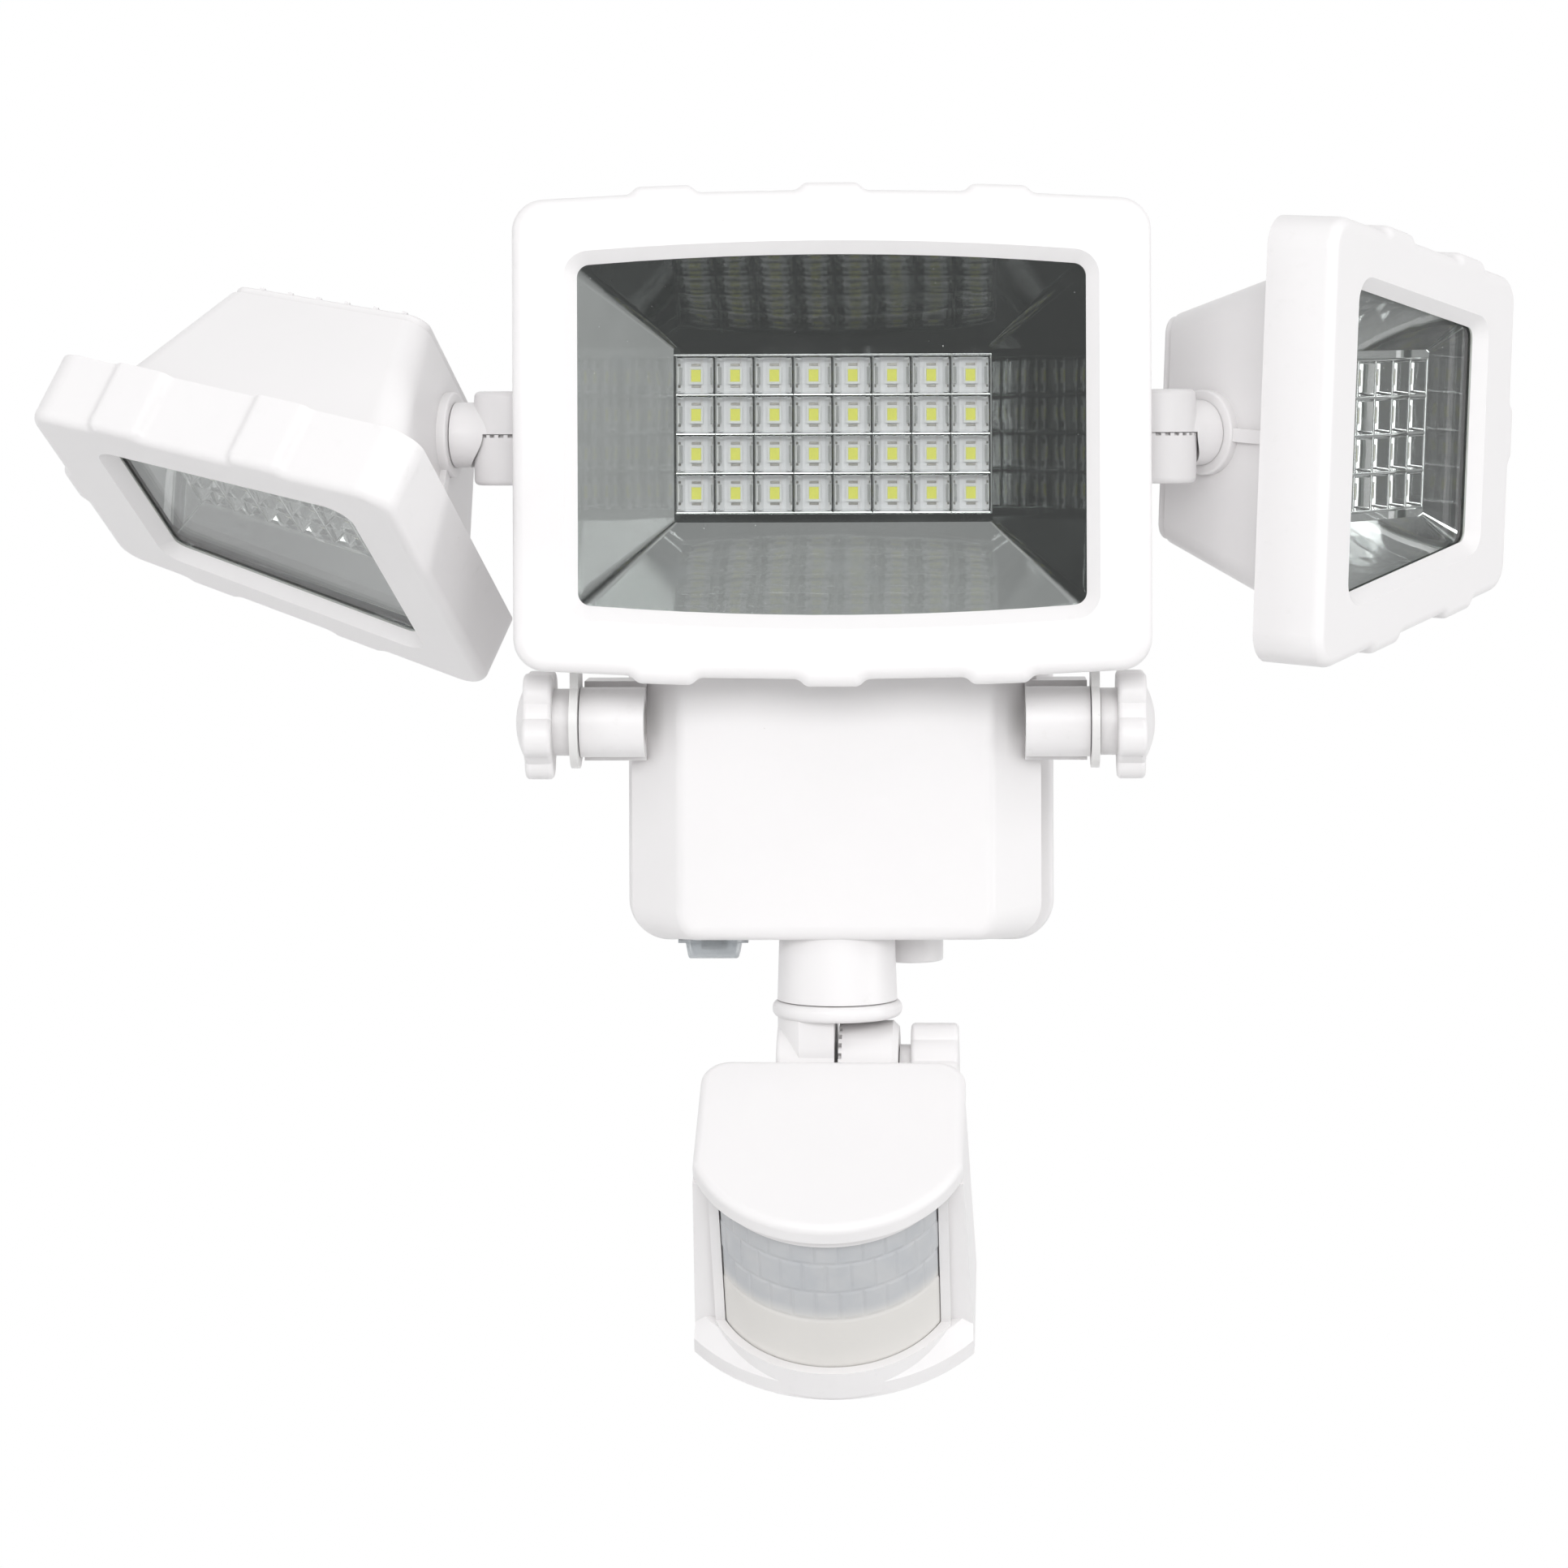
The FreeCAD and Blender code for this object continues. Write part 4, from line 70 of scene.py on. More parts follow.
MM = 0.001
CELL_PITCH = 8 * MM
CELL_ROWS = 4
LED_HALF_WIDE = 1.4 * MM
LED_HALF_TALL = 1.75 * MM
PAD_REACH = 2.2 * MM
GLASS_IOR = 1.52
SLOT_OF_NODE = {part["node"]: part["material_slot"] for part in frame["record"]["subparts"]}


# Shader expressions


class Signal:
    """Value, colour or vector that comes out of a node, with Python's arithmetic for values."""

    def __init__(self, recipe, socket):
        self.recipe = recipe
        self.socket = socket

    def maths(self, operation, *others):
        values = dict(enumerate((self, *others)))
        return self.recipe.node("ShaderNodeMath", {"operation": operation}, values)

    def reflected(self, operation, other):
        return self.recipe.node("ShaderNodeMath", {"operation": operation}, {0: other, 1: self})

    def __add__(self, other):
        return self.maths("ADD", other)

    def __sub__(self, other):
        return self.maths("SUBTRACT", other)

    def __mul__(self, other):
        return self.maths("MULTIPLY", other)

    def __truediv__(self, other):
        return self.maths("DIVIDE", other)

    def __radd__(self, other):
        return self.reflected("ADD", other)

    def __rsub__(self, other):
        return self.reflected("SUBTRACT", other)

    def __rmul__(self, other):
        return self.reflected("MULTIPLY", other)

    def __rtruediv__(self, other):
        return self.reflected("DIVIDE", other)

    def __abs__(self):
        return self.maths("ABSOLUTE")

    def fraction(self):
        return self.maths("FRACT")

    def greater(self, other):
        return self.maths("MAXIMUM", other)

    def lesser(self, other):
        return self.maths("MINIMUM", other)

    def ramp(self, low, high, start=0.0, end=1.0):
        """Smooth change from start to end while this value goes from low to high."""
        settings = {"interpolation_type": "SMOOTHSTEP"}
        values = {"Value": self, "From Min": low, "From Max": high, "To Min": start, "To Max": end}
        return self.recipe.node("ShaderNodeMapRange", settings, values)

    def dot(self, direction):
        values = {0: self, 1: direction}
        return self.recipe.node("ShaderNodeVectorMath", {"operation": "DOT_PRODUCT"}, values, "Value")

    def moved(self, offset):
        return self.recipe.node("ShaderNodeVectorMath", {"operation": "ADD"}, {0: self, 1: offset})

    def stretched(self, factors):
        return self.recipe.node("ShaderNodeVectorMath", {"operation": "MULTIPLY"}, {0: self, 1: factors})


class Recipe:
    """Node tree of one finish, or of the room."""

    def __init__(self, name, world=None):
        self.owner = world or bpy.data.materials.new(name)
        self.owner.use_nodes = True
        self.tree = self.owner.node_tree
        self.tree.nodes.clear()

    def node(self, kind, settings=None, values=None, output=0):
        """Adds a node, makes its settings, then fills or links its sockets."""
        made = self.tree.nodes.new(kind)
        for name, setting in (settings or {}).items():
            setattr(made, name, setting)
        for key, value in (values or {}).items():
            if isinstance(value, Signal):
                self.tree.links.new(value.socket, made.inputs[key])
            else:
                made.inputs[key].default_value = value
        return Signal(self, made.outputs[output])

    def place(self):
        """Point on the object, in metres, which rides with the part."""
        return self.node("ShaderNodeTexCoord", output="Object")

    def noise(self, size, detail=2.0, roughness=0.5, where=None, distortion=0.0):
        """Soft random value from 0 to 1 with spots of the given size in metres."""
        values = {
            "Vector": where or self.place(), "Scale": 1 / size, "Detail": detail,
            "Roughness": roughness, "Distortion": distortion,
        }
        return self.node("ShaderNodeTexNoise", values=values)

    def specks(self, spacing, radius):
        """One at small round specks that lie at random, nought elsewhere."""
        values = {"Vector": self.place(), "Scale": 1 / spacing, "Randomness": 1.0}
        distance = self.node("ShaderNodeTexVoronoi", {"feature": "F1"}, values, "Distance")
        return distance.ramp(radius / spacing * 0.6, radius / spacing, 1.0, 0.0)

    def mix(self, share, first, second):
        """Colour that goes from first to second as share goes from 0 to 1."""
        values = {0: share, 6: first, 7: second}
        return self.node("ShaderNodeMix", {"data_type": "RGBA"}, values, 2)

    def crease(self, distance):
        """One in the open, falling towards nought deep in a seam or corner."""
        settings = {"samples": 8}
        return self.node("ShaderNodeAmbientOcclusion", settings, {"Distance": distance}, "AO")

    def edge(self):
        """One along sharp outer edges, nought on flat faces."""
        return self.node("ShaderNodeNewGeometry", output="Pointiness").ramp(0.52, 0.60)

    def bump(self, height, depth, below=None):
        """Surface normal with the given height pattern, whose full depth is in metres."""
        values = {"Height": height, "Distance": depth, "Strength": 1.0}
        if below is not None:
            values["Normal"] = below
        return self.node("ShaderNodeBump", values=values)

    def surface(self, **values):
        """Principled shader whose sockets are named in words joined by underscores."""
        named = {key.replace("_", " "): value for key, value in values.items()}
        return self.node("ShaderNodeBsdfPrincipled", values=named)

    def finish(self, shader, kind="ShaderNodeOutputMaterial"):
        output = self.tree.nodes.new(kind)
        self.tree.links.new(shader.socket, output.inputs["Surface"])
        return self.owner


def opaque(colour):
    return (colour[0], colour[1], colour[2], 1.0)


def toned(colour, factor):
    return (colour[0] * factor, colour[1] * factor, colour[2] * factor, 1.0)


# Settings


def colour_setting(name, description, default):
    return bpy.props.FloatVectorProperty(
        name=name, description=description, default=default, size=3, min=0.0, max=1.0, subtype="COLOR",
    )


def length_setting(name, description, default):
    return bpy.props.FloatProperty(
        name=name, description=description, default=default, min=0.0, precision=5,
        subtype="DISTANCE", unit="LENGTH",
    )


def power_setting(name, description, default):
    return bpy.props.FloatProperty(
        name=name, description=description, default=default, min=0.0, subtype="POWER", unit="POWER",
    )


def factor_setting(name, description, default):
    return bpy.props.FloatProperty(
        name=name, description=description, default=default, min=0.0, max=1.0, subtype="FACTOR",
    )


class SecurityLightColours(bpy.types.PropertyGroup):
    """Colours of the light's finishes."""

    white_plastic: colour_setting("White Plastic", "Moulded shells, knuckles and knobs", (0.90, 0.886, 0.89))
    chrome: colour_setting("Chrome", "Vacuum chromed reflectors", (0.86, 0.865, 0.86))
    glass: colour_setting("Glass", "Tint of the front glasses", (0.965, 0.975, 0.972))
    led_frame: colour_setting("LED Frame", "White frame of each LED package", (0.90, 0.90, 0.89))
    phosphor: colour_setting("Phosphor", "Yellow gel in each LED", (0.95, 0.95, 0.19))
    white_board: colour_setting("White Board", "Solder mask behind the cells", (0.89, 0.88, 0.90))
    solder: colour_setting("Solder", "Pads beside each LED", (0.45, 0.43, 0.40))
    green_board: colour_setting("Green Board", "Solder mask of the control boards", (0.03, 0.20, 0.07))
    paint: colour_setting("Paint", "Powder coat of the yoke bracket", (0.85, 0.845, 0.835))
    zinc: colour_setting("Zinc", "Plating of screws, nuts and bolts", (0.60, 0.60, 0.58))
    seal: colour_setting("Seal", "Pale soft gaskets round the glasses and the box", (0.62, 0.63, 0.59))
    silicone: colour_setting("Silicone", "Boot over the switch", (0.60, 0.63, 0.65))
    lens: colour_setting("Lens", "Milky lens of the sensor", (0.80, 0.78, 0.75))
    # Darker, cooler copy of the lens colour, painted shade for the fine upper rows
    lens_shade: colour_setting("Lens Shade", "Finer lens rows, seen cooler and darker", (0.52, 0.54, 0.57))
    black_plastic: colour_setting("Black Plastic", "Slider, dials and holders", (0.022, 0.022, 0.024))
    sleeve: colour_setting("Sleeve", "Shrink sleeve of the battery cells", (0.03, 0.12, 0.38))


class SecurityLightSurfaces(bpy.types.PropertyGroup):
    """Texture sizes of the light's finishes."""

    spark_size: length_setting("Spark Texture Size", "Width of a grain on the moulded shells", 0.00055)
    spark_depth: length_setting("Spark Texture Depth", "Depth of that grain", 0.000010)
    sink_depth: length_setting("Sink Depth", "Depth of the moulding's slow waves", 0.00010)
    chrome_ripple: length_setting("Chrome Ripple", "Depth of the waves in the chromed walls", 0.00007)
    rib_round: length_setting("Rib Round", "Half width of the rounded tops of the cell ribs", 0.00045)
    rib_rise: length_setting("Rib Rise", "Height of that rounding", 0.00014)
    paint_peel: length_setting("Paint Peel", "Width of a dimple in the powder coat", 0.0011)
    plate_grain: length_setting("Plate Grain", "Width of the streaks in the zinc plating", 0.0004)
    dust: factor_setting("Dust", "How much fine dust and haze lies on glass and chrome", 0.25)
    # Strength of the painted shade in seams and corners
    seam_shade: factor_setting("Seam Shade", "How dark the white shells grow in their seams", 0.30)


class SecurityLightLens(bpy.types.PropertyGroup):
    """Form of the sensor's segmented lens."""

    groove_depth: length_setting("Groove Depth", "Depth of the lines between lens segments", 0.00022)
    groove_width: length_setting("Groove Width", "Width of those lines", 0.0007)
    columns: bpy.props.IntProperty(
        name="Columns", description="Lens segments side by side in the upper rows", default=11, min=3, max=24,
    )


class SecurityLightStudio(bpy.types.PropertyGroup):
    """Camera, lamps and floor of the studio."""

    camera_place: bpy.props.FloatVectorProperty(
        name="Camera Place", description="Where the camera stands", default=(0.0196, -0.9678, 0.0809),
        size=3, subtype="TRANSLATION", unit="LENGTH",
    )
    camera_turn: bpy.props.FloatProperty(
        name="Camera Turn", description="Turn of the camera about the upright axis",
        default=math.radians(1.25), subtype="ANGLE", unit="ROTATION",
    )
    camera_roll: bpy.props.FloatProperty(
        name="Camera Roll", description="Lean of the camera about its own line of sight",
        default=math.radians(0.2), subtype="ANGLE", unit="ROTATION",
    )
    camera_lens: bpy.props.FloatProperty(
        name="Camera Lens", description="Focal length for a 36 mm wide sensor", default=100.0, min=10.0,
        subtype="DISTANCE_CAMERA", unit="CAMERA",
    )
    camera_shift: bpy.props.FloatVectorProperty(
        name="Camera Shift", description="Shift of the picture, in picture widths",
        default=(-0.0321, -0.2391), size=2,
    )
    room_light: bpy.props.FloatProperty(
        name="Room Light", description="Strength of the even light all round", default=0.54, min=0.0,
    )
    dark_front: bpy.props.FloatProperty(
        name="Dark Front", description="Brightness that chrome finds in front of the security light",
        default=0.07, min=0.0,
    )
    key_power: power_setting("Key Power", "Power of the lamp above the camera", 6.0)
    top_power: power_setting("Top Power", "Power of the soft lamp overhead", 2.0)
    side_power: power_setting("Side Power", "Power of the left upright lamp; the right one has more", 2.4)
    floor_drop: length_setting("Floor Drop", "Height of the light's lowest point above the floor", 0.30)
    floor_width: length_setting("Floor Width", "Width of the pale floor", 1.6)


# Finishes, with measures in metres

SCUFF = (0.70, 0.69, 0.67, 1.0)
SPECK = (0.42, 0.38, 0.33, 1.0)
# Colour of the painted shade that darkens seams and corners where shade falls
SEAM_PAINTED_SHADE = (0.36, 0.34, 0.33, 1.0)
SEAM_REACH = 0.004
CHROME_HAZE = (0.86, 0.88, 0.92, 1.0)
CHROME_DUST = (0.93, 0.93, 0.92, 1.0)
GRID_EDGE = 0.0003
GLASS_SHINE = (0.95, 0.96, 0.96, 1.0)
GLASS_FILM = (0.80, 0.82, 0.84, 1.0)
GEL_EDGE = (0.66, 0.74)
GEL_RIM_EDGE = (0.74, 0.80)
GEL_RIM = (0.80, 0.80, 0.55, 1.0)
PAD_TALL_EDGE = (0.00022, 0.00030)
PAD_WIDE_EDGE = (0.00090, 0.00100)
TRACE_PLACE = 0.0011
TRACE_EDGE = (0.00018, 0.00026)
LED_TRACE = (0.55, 0.42, 0.30, 1.0)
TINNED_DOT = (0.62, 0.60, 0.56, 1.0)
PAINT_CHIP = (0.45, 0.45, 0.45, 1.0)
CLEAR_SILICONE = (0.93, 0.94, 0.95, 1.0)


def white_plastic_finish():
    """Satin white moulding: fine spark texture, slow waves, scuffs on edges and painted shade in seams."""
    colours = bpy.context.scene.security_light_colours
    surfaces = bpy.context.scene.security_light_surfaces
    recipe = Recipe("White_Plastic")
    clouds = recipe.noise(0.045, 3.0)
    open_air = recipe.crease(SEAM_REACH)
    scuffs = recipe.noise(0.0035, 4.0, 0.7).ramp(0.55, 0.80) * recipe.edge()
    specks = recipe.specks(0.011, 0.00018)
    tone = recipe.mix(clouds, toned(colours.white_plastic, 1.015), toned(colours.white_plastic, 0.975))
    tone = recipe.mix(scuffs * 0.25, tone, SCUFF)
    tone = recipe.mix(specks * 0.35, tone, SPECK)
    # Painted shade: ambient occlusion darkens the colour in seams and corners, where shade falls
    shade = (1 - open_air) * surfaces.seam_shade
    tone = recipe.mix(shade, tone, SEAM_PAINTED_SHADE)
    gloss = 0.34 + clouds * 0.06 + scuffs * 0.15
    waves = recipe.bump(recipe.noise(0.028, 1.0), surfaces.sink_depth)
    grain = recipe.bump(recipe.noise(surfaces.spark_size, 2.0), surfaces.spark_depth, waves)
    shader = recipe.surface(Base_Color=tone, Roughness=gloss, Normal=grain, IOR=1.49)
    return recipe.finish(shader)


def chrome_finish(name, grid):
    """Vacuum chrome on plastic: rounded cell ribs, slow ripples, haze smears and dust specks."""
    colours = bpy.context.scene.security_light_colours
    surfaces = bpy.context.scene.security_light_surfaces
    recipe = Recipe(name)
    column, row, across, up = cell_distances(recipe, grid)
    half_pitch = CELL_PITCH / 2
    in_grid = abs(across).ramp(grid.half_wide, grid.half_wide + GRID_EDGE, 1.0, 0.0)
    in_grid = in_grid * abs(up).ramp(grid.half_tall, grid.half_tall + GRID_EDGE, 1.0, 0.0)
    upright_rib = ((half_pitch - abs(column)) / surfaces.rib_round).lesser(1.0)
    level_rib = ((half_pitch - abs(row)) / surfaces.rib_round).lesser(1.0)
    ribs = (1 - upright_rib * upright_rib).greater(1 - level_rib * level_rib) * in_grid
    smear = recipe.noise(0.016, 5.0, 0.65, distortion=0.6).ramp(0.52, 0.78)
    dust = recipe.specks(0.0026, 0.00012)
    tone = recipe.mix(smear * surfaces.dust, opaque(colours.chrome), CHROME_HAZE)
    tone = recipe.mix(dust * 0.6, tone, CHROME_DUST)
    gloss = 0.035 + smear * surfaces.dust * 0.35 + dust * 0.3
    slow = recipe.bump(recipe.noise(0.012, 1.0, distortion=0.3), surfaces.chrome_ripple)
    fine = recipe.bump(recipe.noise(0.0016, 2.0), surfaces.chrome_ripple * 0.03, slow)
    rounded = recipe.bump(ribs, surfaces.rib_rise, fine)
    shader = recipe.surface(Base_Color=tone, Metallic=1.0, Roughness=gloss, Normal=rounded)
    return recipe.finish(shader)


def glass_finish():
    """Clear float glass with a faint film of haze and a few dust specks."""
    colours = bpy.context.scene.security_light_colours
    surfaces = bpy.context.scene.security_light_surfaces
    recipe = Recipe("Front_Glass")
    haze = recipe.noise(0.020, 4.0, 0.6).ramp(0.45, 0.85) * surfaces.dust * 0.06
    dust = recipe.specks(0.006, 0.00012) * 0.35
    inside = recipe.node("ShaderNodeNewGeometry", output="Backfacing")
    outer_bounce = recipe.node("ShaderNodeFresnel", values={"IOR": GLASS_IOR})
    inner_bounce = recipe.node("ShaderNodeFresnel", values={"IOR": 1 / GLASS_IOR})
    bounce = outer_bounce * (1 - inside) + inner_bounce * inside
    clear = recipe.node("ShaderNodeBsdfTransparent", values={"Color": opaque(colours.glass)})
    shine = recipe.surface(Base_Color=GLASS_SHINE, Metallic=1.0, Roughness=0.02)
    film = recipe.surface(Base_Color=GLASS_FILM, Roughness=0.6)
    layered = recipe.node("ShaderNodeMixShader", values={0: bounce, 1: clear, 2: shine})
    shader = recipe.node("ShaderNodeMixShader", values={0: (haze + dust).lesser(0.5), 1: layered, 2: film})
    return recipe.finish(shader)


def cell_distances(recipe, grid):
    """Distances from the nearest cell's middle and from the grid's middle, across and up."""
    from_middle = recipe.place().moved(tuple(-c for c in grid.middle))
    across = from_middle.dot(grid.across)
    up = from_middle.dot(grid.up)
    column = ((across / CELL_PITCH).fraction() - 0.5) * CELL_PITCH
    row = ((up / CELL_PITCH).fraction() - 0.5) * CELL_PITCH
    return column, row, across, up


def led_finish(name, grid):
    """White LED packages with a yellow gel window; the window is found on the grid of cells."""
    colours = bpy.context.scene.security_light_colours
    recipe = Recipe(name)
    column, row, _, _ = cell_distances(recipe, grid)
    away = (abs(column) / LED_HALF_WIDE).greater(abs(row) / LED_HALF_TALL)
    gel = away.ramp(*GEL_EDGE, 1.0, 0.0)
    rim = away.ramp(*GEL_RIM_EDGE, 1.0, 0.0) - gel
    grain = recipe.noise(0.00035, 3.0)
    yellow = recipe.mix(grain, toned(colours.phosphor, 1.04), toned(colours.phosphor, 0.90))
    body = recipe.mix(grain, toned(colours.led_frame, 1.03), toned(colours.led_frame, 0.94))
    tone = recipe.mix(gel, body, yellow)
    tone = recipe.mix(rim * 0.5, tone, GEL_RIM)
    skin = recipe.bump(1 - gel, 0.00006)
    skin = recipe.bump(grain, 0.00002, skin)
    gloss = 0.32 + gel * 0.22
    shader = recipe.surface(Base_Color=tone, Roughness=gloss, Normal=skin)
    return recipe.finish(shader)


def led_board_finish(name, grid):
    """White solder mask with a pair of tinned pads and a trace at each LED."""
    colours = bpy.context.scene.security_light_colours
    recipe = Recipe(name)
    column, row, _, _ = cell_distances(recipe, grid)
    pad = abs(abs(row) - PAD_REACH).ramp(*PAD_TALL_EDGE, 1.0, 0.0)
    pad = pad * abs(column).ramp(*PAD_WIDE_EDGE, 1.0, 0.0)
    trace = abs(column - TRACE_PLACE).ramp(*TRACE_EDGE, 1.0, 0.0)
    grain = recipe.noise(0.0005, 3.0)
    tone = recipe.mix(grain, toned(colours.white_board, 1.03), toned(colours.white_board, 0.95))
    tone = recipe.mix(trace * 0.10, tone, LED_TRACE)
    tin = recipe.mix(recipe.noise(0.0003, 3.0), toned(colours.solder, 1.3), toned(colours.solder, 0.7))
    tone = recipe.mix(pad, tone, tin)
    relief = recipe.bump(pad + trace * 0.4, 0.00005)
    shader = recipe.surface(Base_Color=tone, Roughness=0.48 - pad * 0.2, Metallic=pad * 0.7, Normal=relief)
    return recipe.finish(shader)


def green_board_finish():
    """Green solder mask with copper traces under it and tinned dots."""
    colours = bpy.context.scene.security_light_colours
    recipe = Recipe("Green_Board")
    grid = {"Vector": recipe.place(), "Scale": 160.0, "Mortar Size": 0.03}
    traces = recipe.node("ShaderNodeTexBrick", values=grid, output="Fac")
    dots = recipe.specks(0.0032, 0.0005)
    tone = recipe.mix(traces * 0.6, opaque(colours.green_board), toned(colours.green_board, 1.9))
    tone = recipe.mix(dots, tone, TINNED_DOT)
    relief = recipe.bump(traces + dots, 0.00004)
    shader = recipe.surface(Base_Color=tone, Roughness=0.34 + dots * 0.1, Metallic=dots * 0.8, Normal=relief)
    return recipe.finish(shader)


def paint_finish():
    """White powder coat on steel with its orange peel, and painted shade in its seams."""
    colours = bpy.context.scene.security_light_colours
    surfaces = bpy.context.scene.security_light_surfaces
    recipe = Recipe("Painted_Steel")
    clouds = recipe.noise(0.03, 3.0)
    chips = recipe.noise(0.002, 4.0, 0.7).ramp(0.62, 0.74) * recipe.edge()
    tone = recipe.mix(clouds, toned(colours.paint, 1.02), toned(colours.paint, 0.96))
    tone = recipe.mix(chips * 0.5, tone, PAINT_CHIP)
    # Painted shade: ambient occlusion darkens the colour in seams and corners, where shade falls
    shade = (1 - recipe.crease(SEAM_REACH)) * surfaces.seam_shade
    tone = recipe.mix(shade, tone, SEAM_PAINTED_SHADE)
    peel = recipe.bump(recipe.noise(surfaces.paint_peel, 2.0), 0.00003)
    shader = recipe.surface(Base_Color=tone, Roughness=0.28 + clouds * 0.08, Normal=peel, IOR=1.5)
    return recipe.finish(shader)


def zinc_finish():
    """Bright zinc plating with fine streaks and duller patches."""
    colours = bpy.context.scene.security_light_colours
    surfaces = bpy.context.scene.security_light_surfaces
    recipe = Recipe("Zinc_Steel")
    streaks = recipe.noise(surfaces.plate_grain, 3.0, where=recipe.place().stretched((1.0, 1.0, 6.0)))
    patches = recipe.noise(0.003, 3.0)
    tone = recipe.mix(patches, toned(colours.zinc, 1.12), toned(colours.zinc, 0.86))
    gloss = 0.24 + patches * 0.14 + streaks * 0.06
    skin = recipe.bump(streaks, 0.00001)
    shader = recipe.surface(Base_Color=tone, Metallic=1.0, Roughness=gloss, Normal=skin)
    return recipe.finish(shader)


def seal_finish():
    """Pale, slightly translucent sealing silicone with a dusty skin."""
    colours = bpy.context.scene.security_light_colours
    recipe = Recipe("Seal_Rubber")
    bloom = recipe.noise(0.004, 4.0, 0.6)
    tone = recipe.mix(bloom, toned(colours.seal, 0.92), toned(colours.seal, 1.12))
    skin = recipe.bump(recipe.noise(0.0004), 0.00002)
    gloss = 0.46 + bloom * 0.15
    shader = recipe.surface(Base_Color=tone, Roughness=gloss, Normal=skin, Subsurface_Weight=0.15)
    return recipe.finish(shader)


def silicone_finish():
    """Clear soft silicone, whitish where it is thick or rubbed."""
    colours = bpy.context.scene.security_light_colours
    recipe = Recipe("Clear_Silicone")
    bloom = recipe.noise(0.003, 3.0)
    rim = recipe.node("ShaderNodeLayerWeight", values={"Blend": 0.35}, output="Facing")
    tone = recipe.mix(bloom, opaque(colours.silicone), toned(colours.silicone, 1.25))
    body = recipe.surface(
        Base_Color=tone, Roughness=0.25 + bloom * 0.15, Normal=recipe.bump(recipe.noise(0.0006), 0.00003),
    )
    clear = recipe.node("ShaderNodeBsdfTransparent", values={"Color": CLEAR_SILICONE})
    cover = 0.38 + rim * 0.5 + bloom * 0.08
    return recipe.finish(recipe.node("ShaderNodeMixShader", values={0: cover, 1: clear, 2: body}))


def black_plastic_finish():
    """Black moulding with a fine grain and paler rubbed edges."""
    colours = bpy.context.scene.security_light_colours
    recipe = Recipe("Black_Plastic")
    rubbed = recipe.edge() * recipe.noise(0.001, 3.0)
    tone = recipe.mix(rubbed, opaque(colours.black_plastic), toned(colours.black_plastic, 4.0))
    grain = recipe.bump(recipe.noise(0.0005), 0.00003)
    shader = recipe.surface(Base_Color=tone, Roughness=0.42 + rubbed * 0.2, Normal=grain)
    return recipe.finish(shader)


def sleeve_finish():
    """Glossy shrink sleeve with slight wrinkles."""
    colours = bpy.context.scene.security_light_colours
    recipe = Recipe("Cell_Sleeve")
    wrinkles = recipe.noise(0.004, 3.0, where=recipe.place().stretched((1.0, 4.0, 1.0)))
    tone = recipe.mix(wrinkles, toned(colours.sleeve, 1.2), toned(colours.sleeve, 0.8))
    skin = recipe.bump(wrinkles, 0.00008)
    shader = recipe.surface(Base_Color=tone, Roughness=0.20 + wrinkles * 0.1, Normal=skin)
    return recipe.finish(shader)


def dress(slot, material):
    """Gives a finish to every node that has this material slot."""
    for node, name in SLOT_OF_NODE.items():
        if name == slot:
            dress_node(node, material)


def dress_node(node, material):
    frame["nodes"][node].data.materials.clear()
    frame["nodes"][node].data.materials.append(material)


# Lamp grids, with places in millimetres and turns in degrees

PIVOT_SPREAD = 67.4
PIVOT_Y = -68.0
LAMP_HEIGHT = 75.8
CENTRE_FRONT_Y = -98.0
SIDE_SPLAY = 17.6
SIDE_LAMP_OFFSET = (-1.7, -39.3, 0.0)
SIDE_GRID_MIDDLE = 42.1
CENTRE_COLUMNS = 8
SIDE_COLUMNS = 6
RIGHT_SWIVEL = 39.6
RIGHT_TILT = 3.4
LEFT_SWIVEL = -8.6
LEFT_TILT = 62.8


class LampGrid:
    """Grid of cells of one lamp: its middle and directions at rest, and its half sizes."""

    def __init__(self, place, middle_x, columns):
        self.middle = (place @ Vector((middle_x * MM, 0, 0))).to_tuple()
        self.across = (place.to_3x3() @ Vector((1, 0, 0))).to_tuple()
        self.up = (place.to_3x3() @ Vector((0, 0, 1))).to_tuple()
        self.half_wide = columns * CELL_PITCH / 2
        self.half_tall = CELL_ROWS * CELL_PITCH / 2


def turned(degrees, axis):
    return Matrix.Rotation(math.radians(degrees), 4, axis)


def side_lamp_place(side, swivel, tilt):
    """Rest placement of a side lamp: swivel, tilt and splay about its pivot, with its own offset."""
    place = Matrix.Translation(Vector((side * PIVOT_SPREAD, PIVOT_Y, LAMP_HEIGHT)) * MM)
    place = place @ turned(swivel, "Z") @ turned(tilt, "X") @ turned(side * SIDE_SPLAY, "Z")
    if side < 0:
        place = place @ turned(180, "Y")
    return place @ Matrix.Translation(Vector(SIDE_LAMP_OFFSET) * MM)


def lamp_grids():
    centre_place = Matrix.Translation(Vector((0, CENTRE_FRONT_Y, LAMP_HEIGHT)) * MM)
    return {
        "centre": LampGrid(centre_place, 0.0, CENTRE_COLUMNS),
        "right": LampGrid(side_lamp_place(1, RIGHT_SWIVEL, RIGHT_TILT), SIDE_GRID_MIDDLE, SIDE_COLUMNS),
        "left": LampGrid(side_lamp_place(-1, LEFT_SWIVEL, LEFT_TILT), SIDE_GRID_MIDDLE, SIDE_COLUMNS),
    }


# Operators


class SECURITYLIGHT_OT_white_shells(bpy.types.Operator):
    """Dress the moulded shells, knuckles, knobs and covers in satin white plastic"""

    bl_idname = "security_light.white_shells"
    bl_label = "White Shells"

    def execute(self, context):
        dress("white_plastic", white_plastic_finish())
        return {"FINISHED"}


